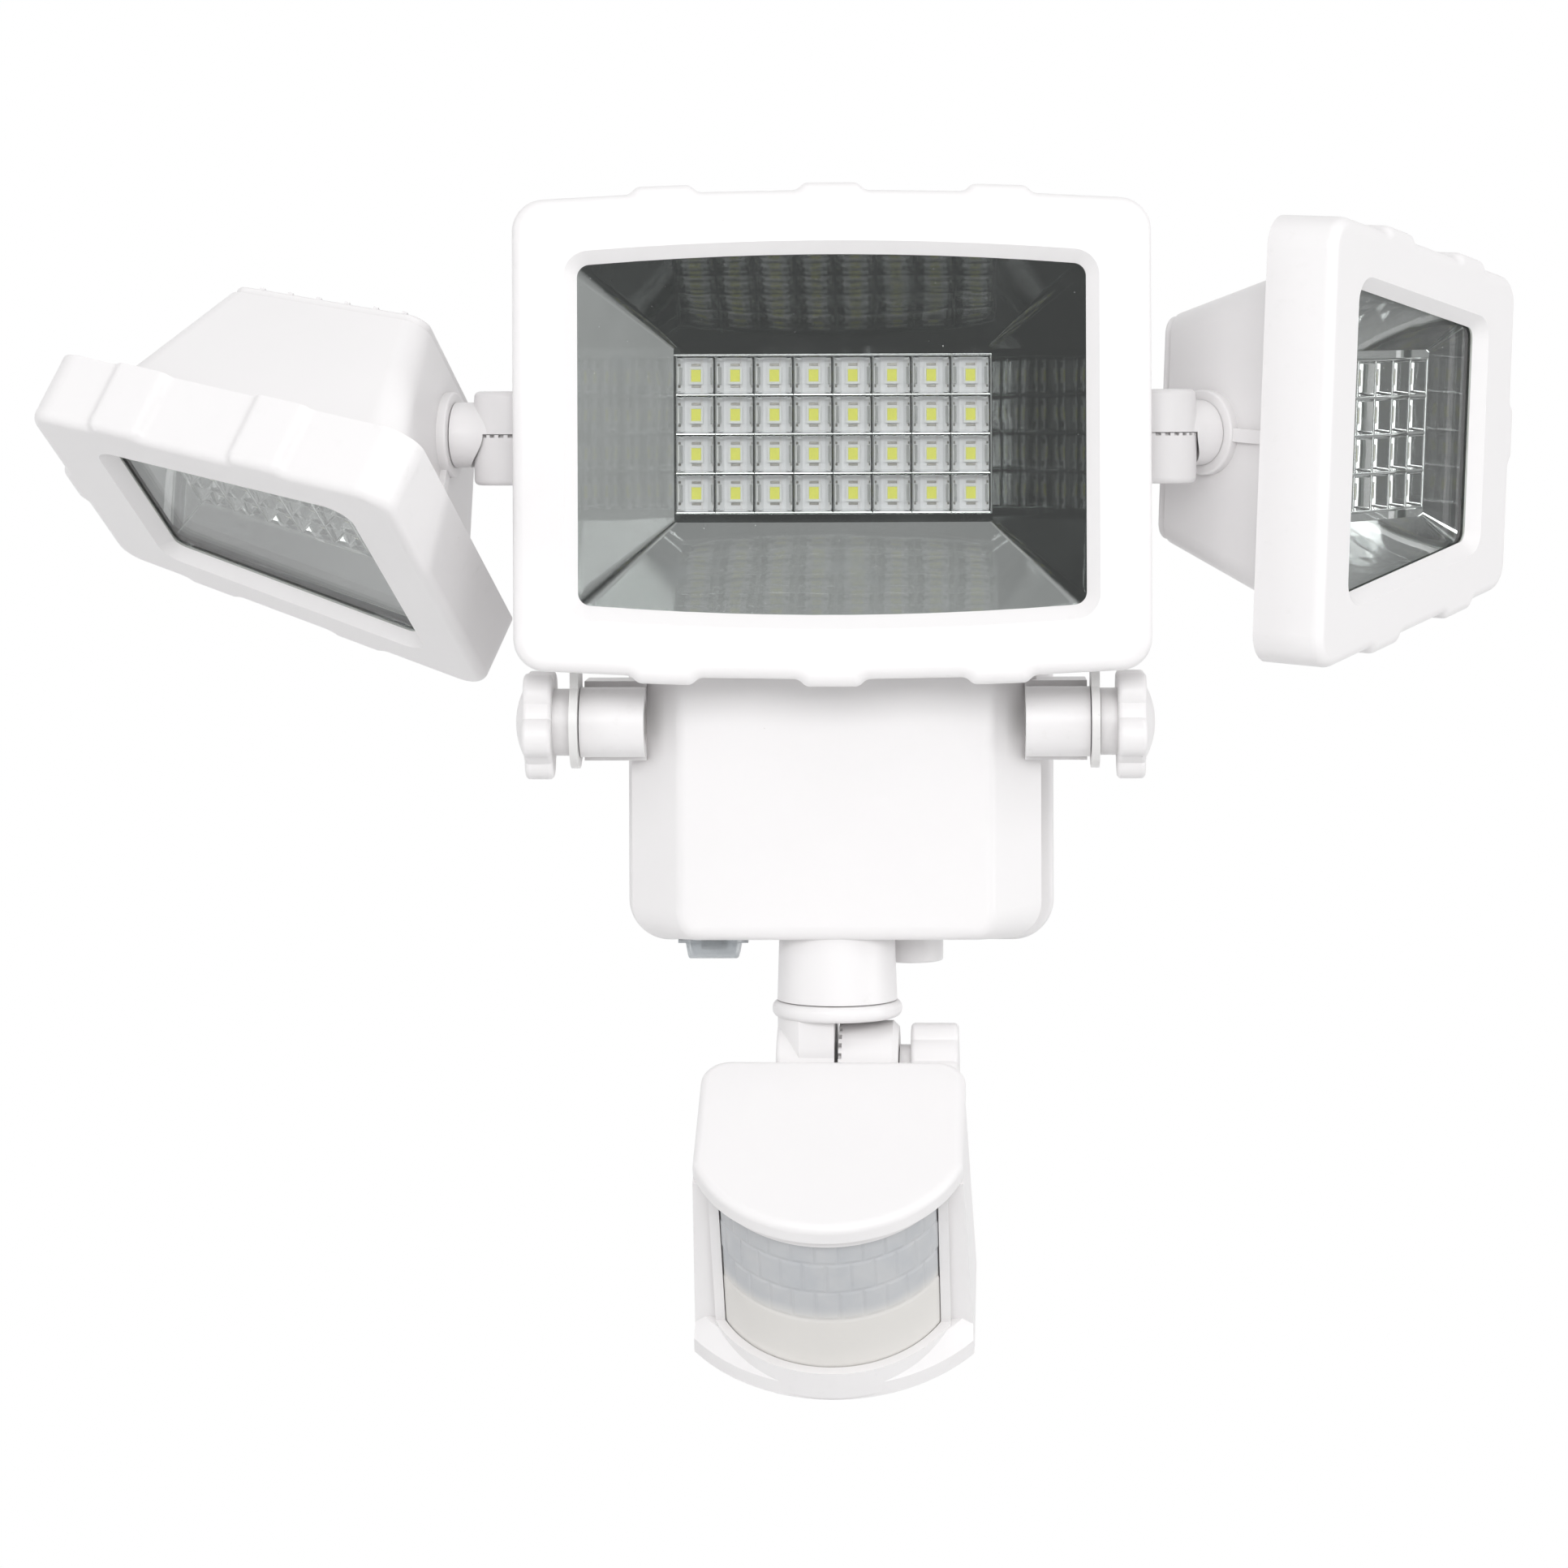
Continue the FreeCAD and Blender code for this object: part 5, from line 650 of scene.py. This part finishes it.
class SECURITYLIGHT_OT_reflectors(bpy.types.Operator):
    """Dress the three cell reflectors in vacuum chrome"""

    bl_idname = "security_light.reflectors"
    bl_label = "Reflectors"

    def execute(self, context):
        for lamp, grid in lamp_grids().items():
            dress_node(f"{lamp}_reflector", chrome_finish(f"Chromed_Plastic_{lamp}", grid))
        return {"FINISHED"}


class SECURITYLIGHT_OT_front_glasses(bpy.types.Operator):
    """Dress the three front glasses in clear glass with a film of haze"""

    bl_idname = "security_light.front_glasses"
    bl_label = "Front Glasses"

    def execute(self, context):
        dress("front_glass", glass_finish())
        return {"FINISHED"}


class SECURITYLIGHT_OT_led_boards(bpy.types.Operator):
    """Dress the LEDs and their white boards, with a gel window and pads at each cell"""

    bl_idname = "security_light.led_boards"
    bl_label = "LED Boards"

    def execute(self, context):
        for lamp, grid in lamp_grids().items():
            dress_node(f"{lamp}_leds", led_finish(f"LED_{lamp}", grid))
            dress_node(f"{lamp}_led_board", led_board_finish(f"LED_Board_{lamp}", grid))
        return {"FINISHED"}


class SECURITYLIGHT_OT_yoke(bpy.types.Operator):
    """Dress the yoke bracket in white powder coat"""

    bl_idname = "security_light.yoke"
    bl_label = "Yoke Bracket"

    def execute(self, context):
        dress("painted_steel", paint_finish())
        return {"FINISHED"}


class SECURITYLIGHT_OT_fixings(bpy.types.Operator):
    """Dress the screws, nuts, bolts and the sensor's metal can in zinc plating"""

    bl_idname = "security_light.fixings"
    bl_label = "Fixings"

    def execute(self, context):
        dress("zinc_steel", zinc_finish())
        return {"FINISHED"}


class SECURITYLIGHT_OT_seals(bpy.types.Operator):
    """Dress the gaskets in pale silicone and the switch boot in clear silicone"""

    bl_idname = "security_light.seals"
    bl_label = "Seals and Boot"

    def execute(self, context):
        dress("seal_rubber", seal_finish())
        dress("clear_silicone", silicone_finish())
        return {"FINISHED"}


class SECURITYLIGHT_OT_inner_parts(bpy.types.Operator):
    """Dress the control boards, battery cells, holders, slider and dials"""

    bl_idname = "security_light.inner_parts"
    bl_label = "Inner Parts and Dials"

    def execute(self, context):
        dress("board_green", green_board_finish())
        dress("black_plastic", black_plastic_finish())
        dress("cell_sleeve", sleeve_finish())
        return {"FINISHED"}


# Sensor lens, with places in millimetres and turns in degrees

HEAD_PIVOT = (0.0, -60.0, -57.5)
HEAD_SWIVEL = -1.8
HEAD_TILT = 33.0
HEAD_PLACE = Matrix.Translation(Vector(HEAD_PIVOT) * MM) @ turned(HEAD_SWIVEL, "Z") @ turned(HEAD_TILT, "X")
LENS_MIDDLE = -31.2
LENS_RADIUS = 24.8
LENS_HALF = 21.9
LENS_HALF_ANGLE = math.asin(LENS_HALF / LENS_RADIUS)
LENS_SPAN = 2 * LENS_HALF_ANGLE
LENS_THICK = 0.9
LENS_ROWS = (-29.4, -15.6, -8.2, -0.6, 7.6)
LENS_LOW = LENS_ROWS[0]
LENS_TOP = LENS_ROWS[-1]
SHIFTED_ROW = 2
SEGMENT_BOWL = 1.6
FINE_ROWS_START = (-17.0 * MM, -12.0 * MM)
LENS_STEPS = 264
LENS_RISES = 140


def lens_finish():
    """Milky polythene, with painted shade that makes the fine upper rows cooler and darker than the warm
    plain lower field.
    """
    colours = bpy.context.scene.security_light_colours
    recipe = Recipe("Milky_Lens")
    up = (HEAD_PLACE.to_3x3() @ Vector((0, 0, 1))).to_tuple()
    height = recipe.place().moved(tuple(-c for c in HEAD_PLACE.translation)).dot(up)
    shaded_fine_rows = height.ramp(*FINE_ROWS_START)
    cloud = recipe.noise(0.006, 3.0)
    # Painted shade: the fine upper rows take the darker, cooler lens_shade copy of the lens colour
    tone = recipe.mix(shaded_fine_rows * (0.55 + cloud * 0.5), opaque(colours.lens), opaque(colours.lens_shade))
    shader = recipe.surface(
        Base_Color=tone, Roughness=0.30 + cloud * 0.12, Subsurface_Weight=0.25,
        Subsurface_Radius=(0.004, 0.004, 0.004), Subsurface_Scale=0.5,
        Normal=recipe.bump(recipe.noise(0.0009, 2.0), 0.00001),
    )
    return recipe.finish(shader)


def lens_groove(angle, height, columns, groove):
    """How deep the outer face lies under its cylinder at this angle and height, in millimetres."""
    width, depth = groove
    segment_width = LENS_SPAN / columns * LENS_RADIUS
    deepest = 0.0
    for row, (bottom, top) in enumerate(zip(LENS_ROWS, LENS_ROWS[1:])):
        if row > 0:
            deepest = max(deepest, 1 - abs(height - bottom) / width)
        if bottom <= height <= top and row > 0:
            share = (angle + LENS_HALF_ANGLE) / LENS_SPAN * columns
            if row == SHIFTED_ROW:
                share += 0.5
            away = abs(share - round(share)) * segment_width
            deepest = max(deepest, 1 - away / width)
            bowl = (share - math.floor(share) - 0.5) ** 2
            deepest = max(deepest, bowl * SEGMENT_BOWL)
    return depth * max(0.0, deepest)


class SECURITYLIGHT_OT_sensor_lens(bpy.types.Operator):
    """Build the curved, segmented lens of the motion sensor"""

    bl_idname = "security_light.sensor_lens"
    bl_label = "Sensor Lens"

    def execute(self, context):
        form = context.scene.security_light_lens
        groove = (form.groove_width / MM, form.groove_depth / MM)
        mesh = bmesh.new()
        rings = []
        for rise in range(LENS_RISES + 1):
            height = LENS_LOW + (LENS_TOP - LENS_LOW) * rise / LENS_RISES
            outer = []
            inner = []
            for step in range(LENS_STEPS + 1):
                angle = -LENS_HALF_ANGLE + LENS_SPAN * step / LENS_STEPS
                radius = LENS_RADIUS - lens_groove(angle, height, form.columns, groove)
                outer.append(mesh.verts.new(self.point(radius, angle, height)))
                inner.append(mesh.verts.new(self.point(LENS_RADIUS - LENS_THICK, angle, height)))
            rings.append((outer, inner))
        for (outer, inner), (outer_up, inner_up) in zip(rings, rings[1:]):
            for step in range(LENS_STEPS):
                mesh.faces.new((outer[step], outer[step + 1], outer_up[step + 1], outer_up[step]))
                mesh.faces.new((inner[step + 1], inner[step], inner_up[step], inner_up[step + 1]))
            mesh.faces.new((inner[0], outer[0], outer_up[0], inner_up[0]))
            mesh.faces.new((outer[-1], inner[-1], inner_up[-1], outer_up[-1]))
        for (outer, inner), turn in ((rings[0], 1), (rings[-1], -1)):
            for step in range(LENS_STEPS):
                rim = (inner[step], inner[step + 1], outer[step + 1], outer[step])
                mesh.faces.new(rim[::turn])
        mesh.normal_update()
        shape = bpy.data.meshes.new("Segmented_Lens")
        mesh.to_mesh(shape)
        mesh.free()
        shape.shade_smooth()
        shape.materials.append(lens_finish())
        lens = bpy.data.objects.new("segmented_lens", shape)
        context.scene.collection.objects.link(lens)
        lens.data.transform(HEAD_PLACE)
        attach(lens, "sensor_head")
        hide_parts("sensor_lens")
        return {"FINISHED"}

    def point(self, radius, angle, height):
        return Vector((radius * math.sin(angle), LENS_MIDDLE - radius * math.cos(angle), height)) * MM


# Studio

# Camera sensor in millimetres, and lamps and floor in metres
CAMERA_SENSOR_WIDTH = 36.0
LAMP_AIM = (0.0, -0.06, 0.0)
KEY_PLACE = (0.05, -1.15, 0.34)
KEY_SIZE = (1.1, 0.34)
TOP_PLACE = (0.10, -0.60, 1.25)
TOP_SIZE = (1.1, 0.5)
LEFT_PLACE = (-1.10, -0.55, 0.20)
RIGHT_PLACE = (1.15, -0.35, 0.20)
SIDE_SIZE = (0.35, 1.0)
RIGHT_LAMP_SHARE = 1.4
FLOOR_MIDDLE = (0.0, -0.05)
FLOOR_PALE = (0.86, 0.86, 0.86, 1.0)
FLOOR_SHADE = (0.82, 0.82, 0.82, 1.0)

# Directions in the room
TO_THE_WALL = (0.0, 1.0, 0.0)
TO_THE_RIGHT = (1.0, 0.0, 0.0)
UPWARD = (0.0, 0.0, 1.0)
FRONT_RIGHT = (0.551, -0.834, 0.0)
FRONT_UPPER = (0.0, -0.834, 0.551)

# Where each side of the room sets in, as the cosine of the angle from its direction
BEHIND_EDGE = (0.50, 0.80)
BESIDE_EDGE = (-0.40, 0.30)
RIGHT_EDGE = (0.86, 0.97)
UPPER_EDGE = (0.88, 0.97)
ABOVE_EDGE = (0.62, 0.80)
FAR_RIGHT_EDGE = (0.70, 0.84)

# How much brighter than its dark front glossy surfaces find that side
BESIDE_PATCH = 0.13
RIGHT_PATCH = 0.32
UPPER_PATCH = 0.26
ABOVE_PATCH = 0.32
FAR_RIGHT_PATCH = 0.20


def area_lamp(name, place, size, power, in_chrome=True):
    """Soft rectangular lamp; one that chrome doesn't show lights only the dull surfaces."""
    lamp = bpy.data.lights.new(name, "AREA")
    lamp.shape = "RECTANGLE"
    lamp.size, lamp.size_y = size
    lamp.energy = power
    stand = bpy.data.objects.new(name, lamp)
    stand.location = place
    stand.visible_glossy = in_chrome
    stand.rotation_euler = (Vector(place) - Vector(LAMP_AIM)).to_track_quat("Z", "Y").to_euler()
    bpy.context.scene.collection.objects.link(stand)


class SECURITYLIGHT_OT_studio(bpy.types.Operator):
    """Set up the camera, the lamps, the white room and the pale floor"""

    bl_idname = "security_light.studio"
    bl_label = "Studio"

    def execute(self, context):
        studio = context.scene.security_light_studio
        self.camera(context, studio)
        self.lamps(studio)
        self.room(context, studio)
        self.floor(context, studio)
        context.scene.view_settings.view_transform = "Standard"
        return {"FINISHED"}

    def camera(self, context, studio):
        camera = bpy.data.cameras.new("Camera")
        camera.lens = studio.camera_lens
        camera.sensor_width = CAMERA_SENSOR_WIDTH
        camera.shift_x, camera.shift_y = studio.camera_shift
        camera.clip_start = 0.01
        camera.clip_end = 50.0
        stand = bpy.data.objects.new("Camera", camera)
        stand.location = studio.camera_place
        stand.rotation_euler = Euler((math.pi / 2, studio.camera_roll, studio.camera_turn))
        context.scene.collection.objects.link(stand)
        context.scene.camera = stand

    def lamps(self, studio):
        right_power = studio.side_power * RIGHT_LAMP_SHARE
        area_lamp("Key_Lamp", KEY_PLACE, KEY_SIZE, studio.key_power)
        area_lamp("Top_Lamp", TOP_PLACE, TOP_SIZE, studio.top_power, in_chrome=False)
        area_lamp("Left_Lamp", LEFT_PLACE, SIDE_SIZE, studio.side_power, in_chrome=False)
        area_lamp("Right_Lamp", RIGHT_PLACE, SIDE_SIZE, right_power)

    def room(self, context, studio):
        """Even white room; glossy surfaces alone find it darker in front, with paler patches."""
        world = bpy.data.worlds.new("White_Room")
        context.scene.world = world
        recipe = Recipe("White_Room", world)
        paths = {
            name: recipe.node("ShaderNodeLightPath", output=name)
            for name in ("Is Camera Ray", "Is Glossy Ray", "Is Transmission Ray")
        }
        direction = recipe.node("ShaderNodeTexCoord", output="Generated")
        behind = direction.dot(TO_THE_WALL).ramp(*BEHIND_EDGE)
        beside = direction.dot(TO_THE_WALL).ramp(*BESIDE_EDGE)
        right = direction.dot(FRONT_RIGHT).ramp(*RIGHT_EDGE)
        upper = direction.dot(FRONT_UPPER).ramp(*UPPER_EDGE)
        above = direction.dot(UPWARD).ramp(*ABOVE_EDGE)
        far_right = direction.dot(TO_THE_RIGHT).ramp(*FAR_RIGHT_EDGE)
        front = studio.dark_front + right * RIGHT_PATCH + upper * UPPER_PATCH + above * ABOVE_PATCH
        front = front + far_right * FAR_RIGHT_PATCH + beside * BESIDE_PATCH
        mirrored = front.lesser(1.0) * (1 - behind) + behind
        plain = (paths["Is Camera Ray"] + paths["Is Transmission Ray"]).lesser(1.0)
        glossy = paths["Is Glossy Ray"] * (1 - plain)
        strength = plain + glossy * mirrored + (1 - plain - glossy) * studio.room_light
        white = recipe.node("ShaderNodeBackground", values={"Color": (1, 1, 1, 1), "Strength": strength})
        recipe.finish(white, "ShaderNodeOutputWorld")

    def floor(self, context, studio):
        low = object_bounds()[0].z - studio.floor_drop
        reach = studio.floor_width / 2
        mesh = bmesh.new()
        bmesh.ops.create_circle(mesh, cap_ends=True, radius=reach, segments=96)
        shape = bpy.data.meshes.new("Floor")
        mesh.to_mesh(shape)
        mesh.free()
        shape.materials.append(self.floor_finish())
        floor = bpy.data.objects.new("Floor", shape)
        floor.location = (*FLOOR_MIDDLE, low)
        floor.visible_glossy = False
        context.scene.collection.objects.link(floor)
        floor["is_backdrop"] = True

    def floor_finish(self):
        recipe = Recipe("Pale_Floor")
        cloud = recipe.noise(0.25, 3.0)
        tone = recipe.mix(cloud, FLOOR_PALE, FLOOR_SHADE)
        return recipe.finish(recipe.surface(Base_Color=tone, Roughness=0.7))


class SECURITYLIGHT_PT_parts(bpy.types.Panel):
    """Lists the pieces of the security light"""

    bl_label = "Security Light"
    bl_idname = "SECURITYLIGHT_PT_parts"
    bl_space_type = "VIEW_3D"
    bl_region_type = "UI"
    bl_category = "Security Light"

    def draw(self, context):
        for operator in OPERATORS:
            self.layout.operator(operator.bl_idname)
        for group in SETTINGS:
            settings = getattr(context.scene, group)
            box = self.layout.box()
            for name in settings.__annotations__:
                box.prop(settings, name)


OPERATORS = (
    SECURITYLIGHT_OT_white_shells,
    SECURITYLIGHT_OT_reflectors,
    SECURITYLIGHT_OT_front_glasses,
    SECURITYLIGHT_OT_led_boards,
    SECURITYLIGHT_OT_yoke,
    SECURITYLIGHT_OT_fixings,
    SECURITYLIGHT_OT_seals,
    SECURITYLIGHT_OT_inner_parts,
    SECURITYLIGHT_OT_sensor_lens,
    SECURITYLIGHT_OT_studio,
)
SETTINGS = {
    "security_light_colours": SecurityLightColours,
    "security_light_surfaces": SecurityLightSurfaces,
    "security_light_lens": SecurityLightLens,
    "security_light_studio": SecurityLightStudio,
}


def register():
    for group in SETTINGS.values():
        bpy.utils.register_class(group)
    for name, group in SETTINGS.items():
        setattr(bpy.types.Scene, name, bpy.props.PointerProperty(type=group))
    for operator in OPERATORS:
        bpy.utils.register_class(operator)
    bpy.utils.register_class(SECURITYLIGHT_PT_parts)


def unregister():
    bpy.utils.unregister_class(SECURITYLIGHT_PT_parts)
    for operator in reversed(OPERATORS):
        bpy.utils.unregister_class(operator)
    for name, group in reversed(SETTINGS.items()):
        delattr(bpy.types.Scene, name)
        bpy.utils.unregister_class(group)


def main():
    register()
    for operator in OPERATORS:
        category, name = operator.bl_idname.split(".")
        getattr(getattr(bpy.ops, category), name)()


if __name__ == "__main__":
    main()
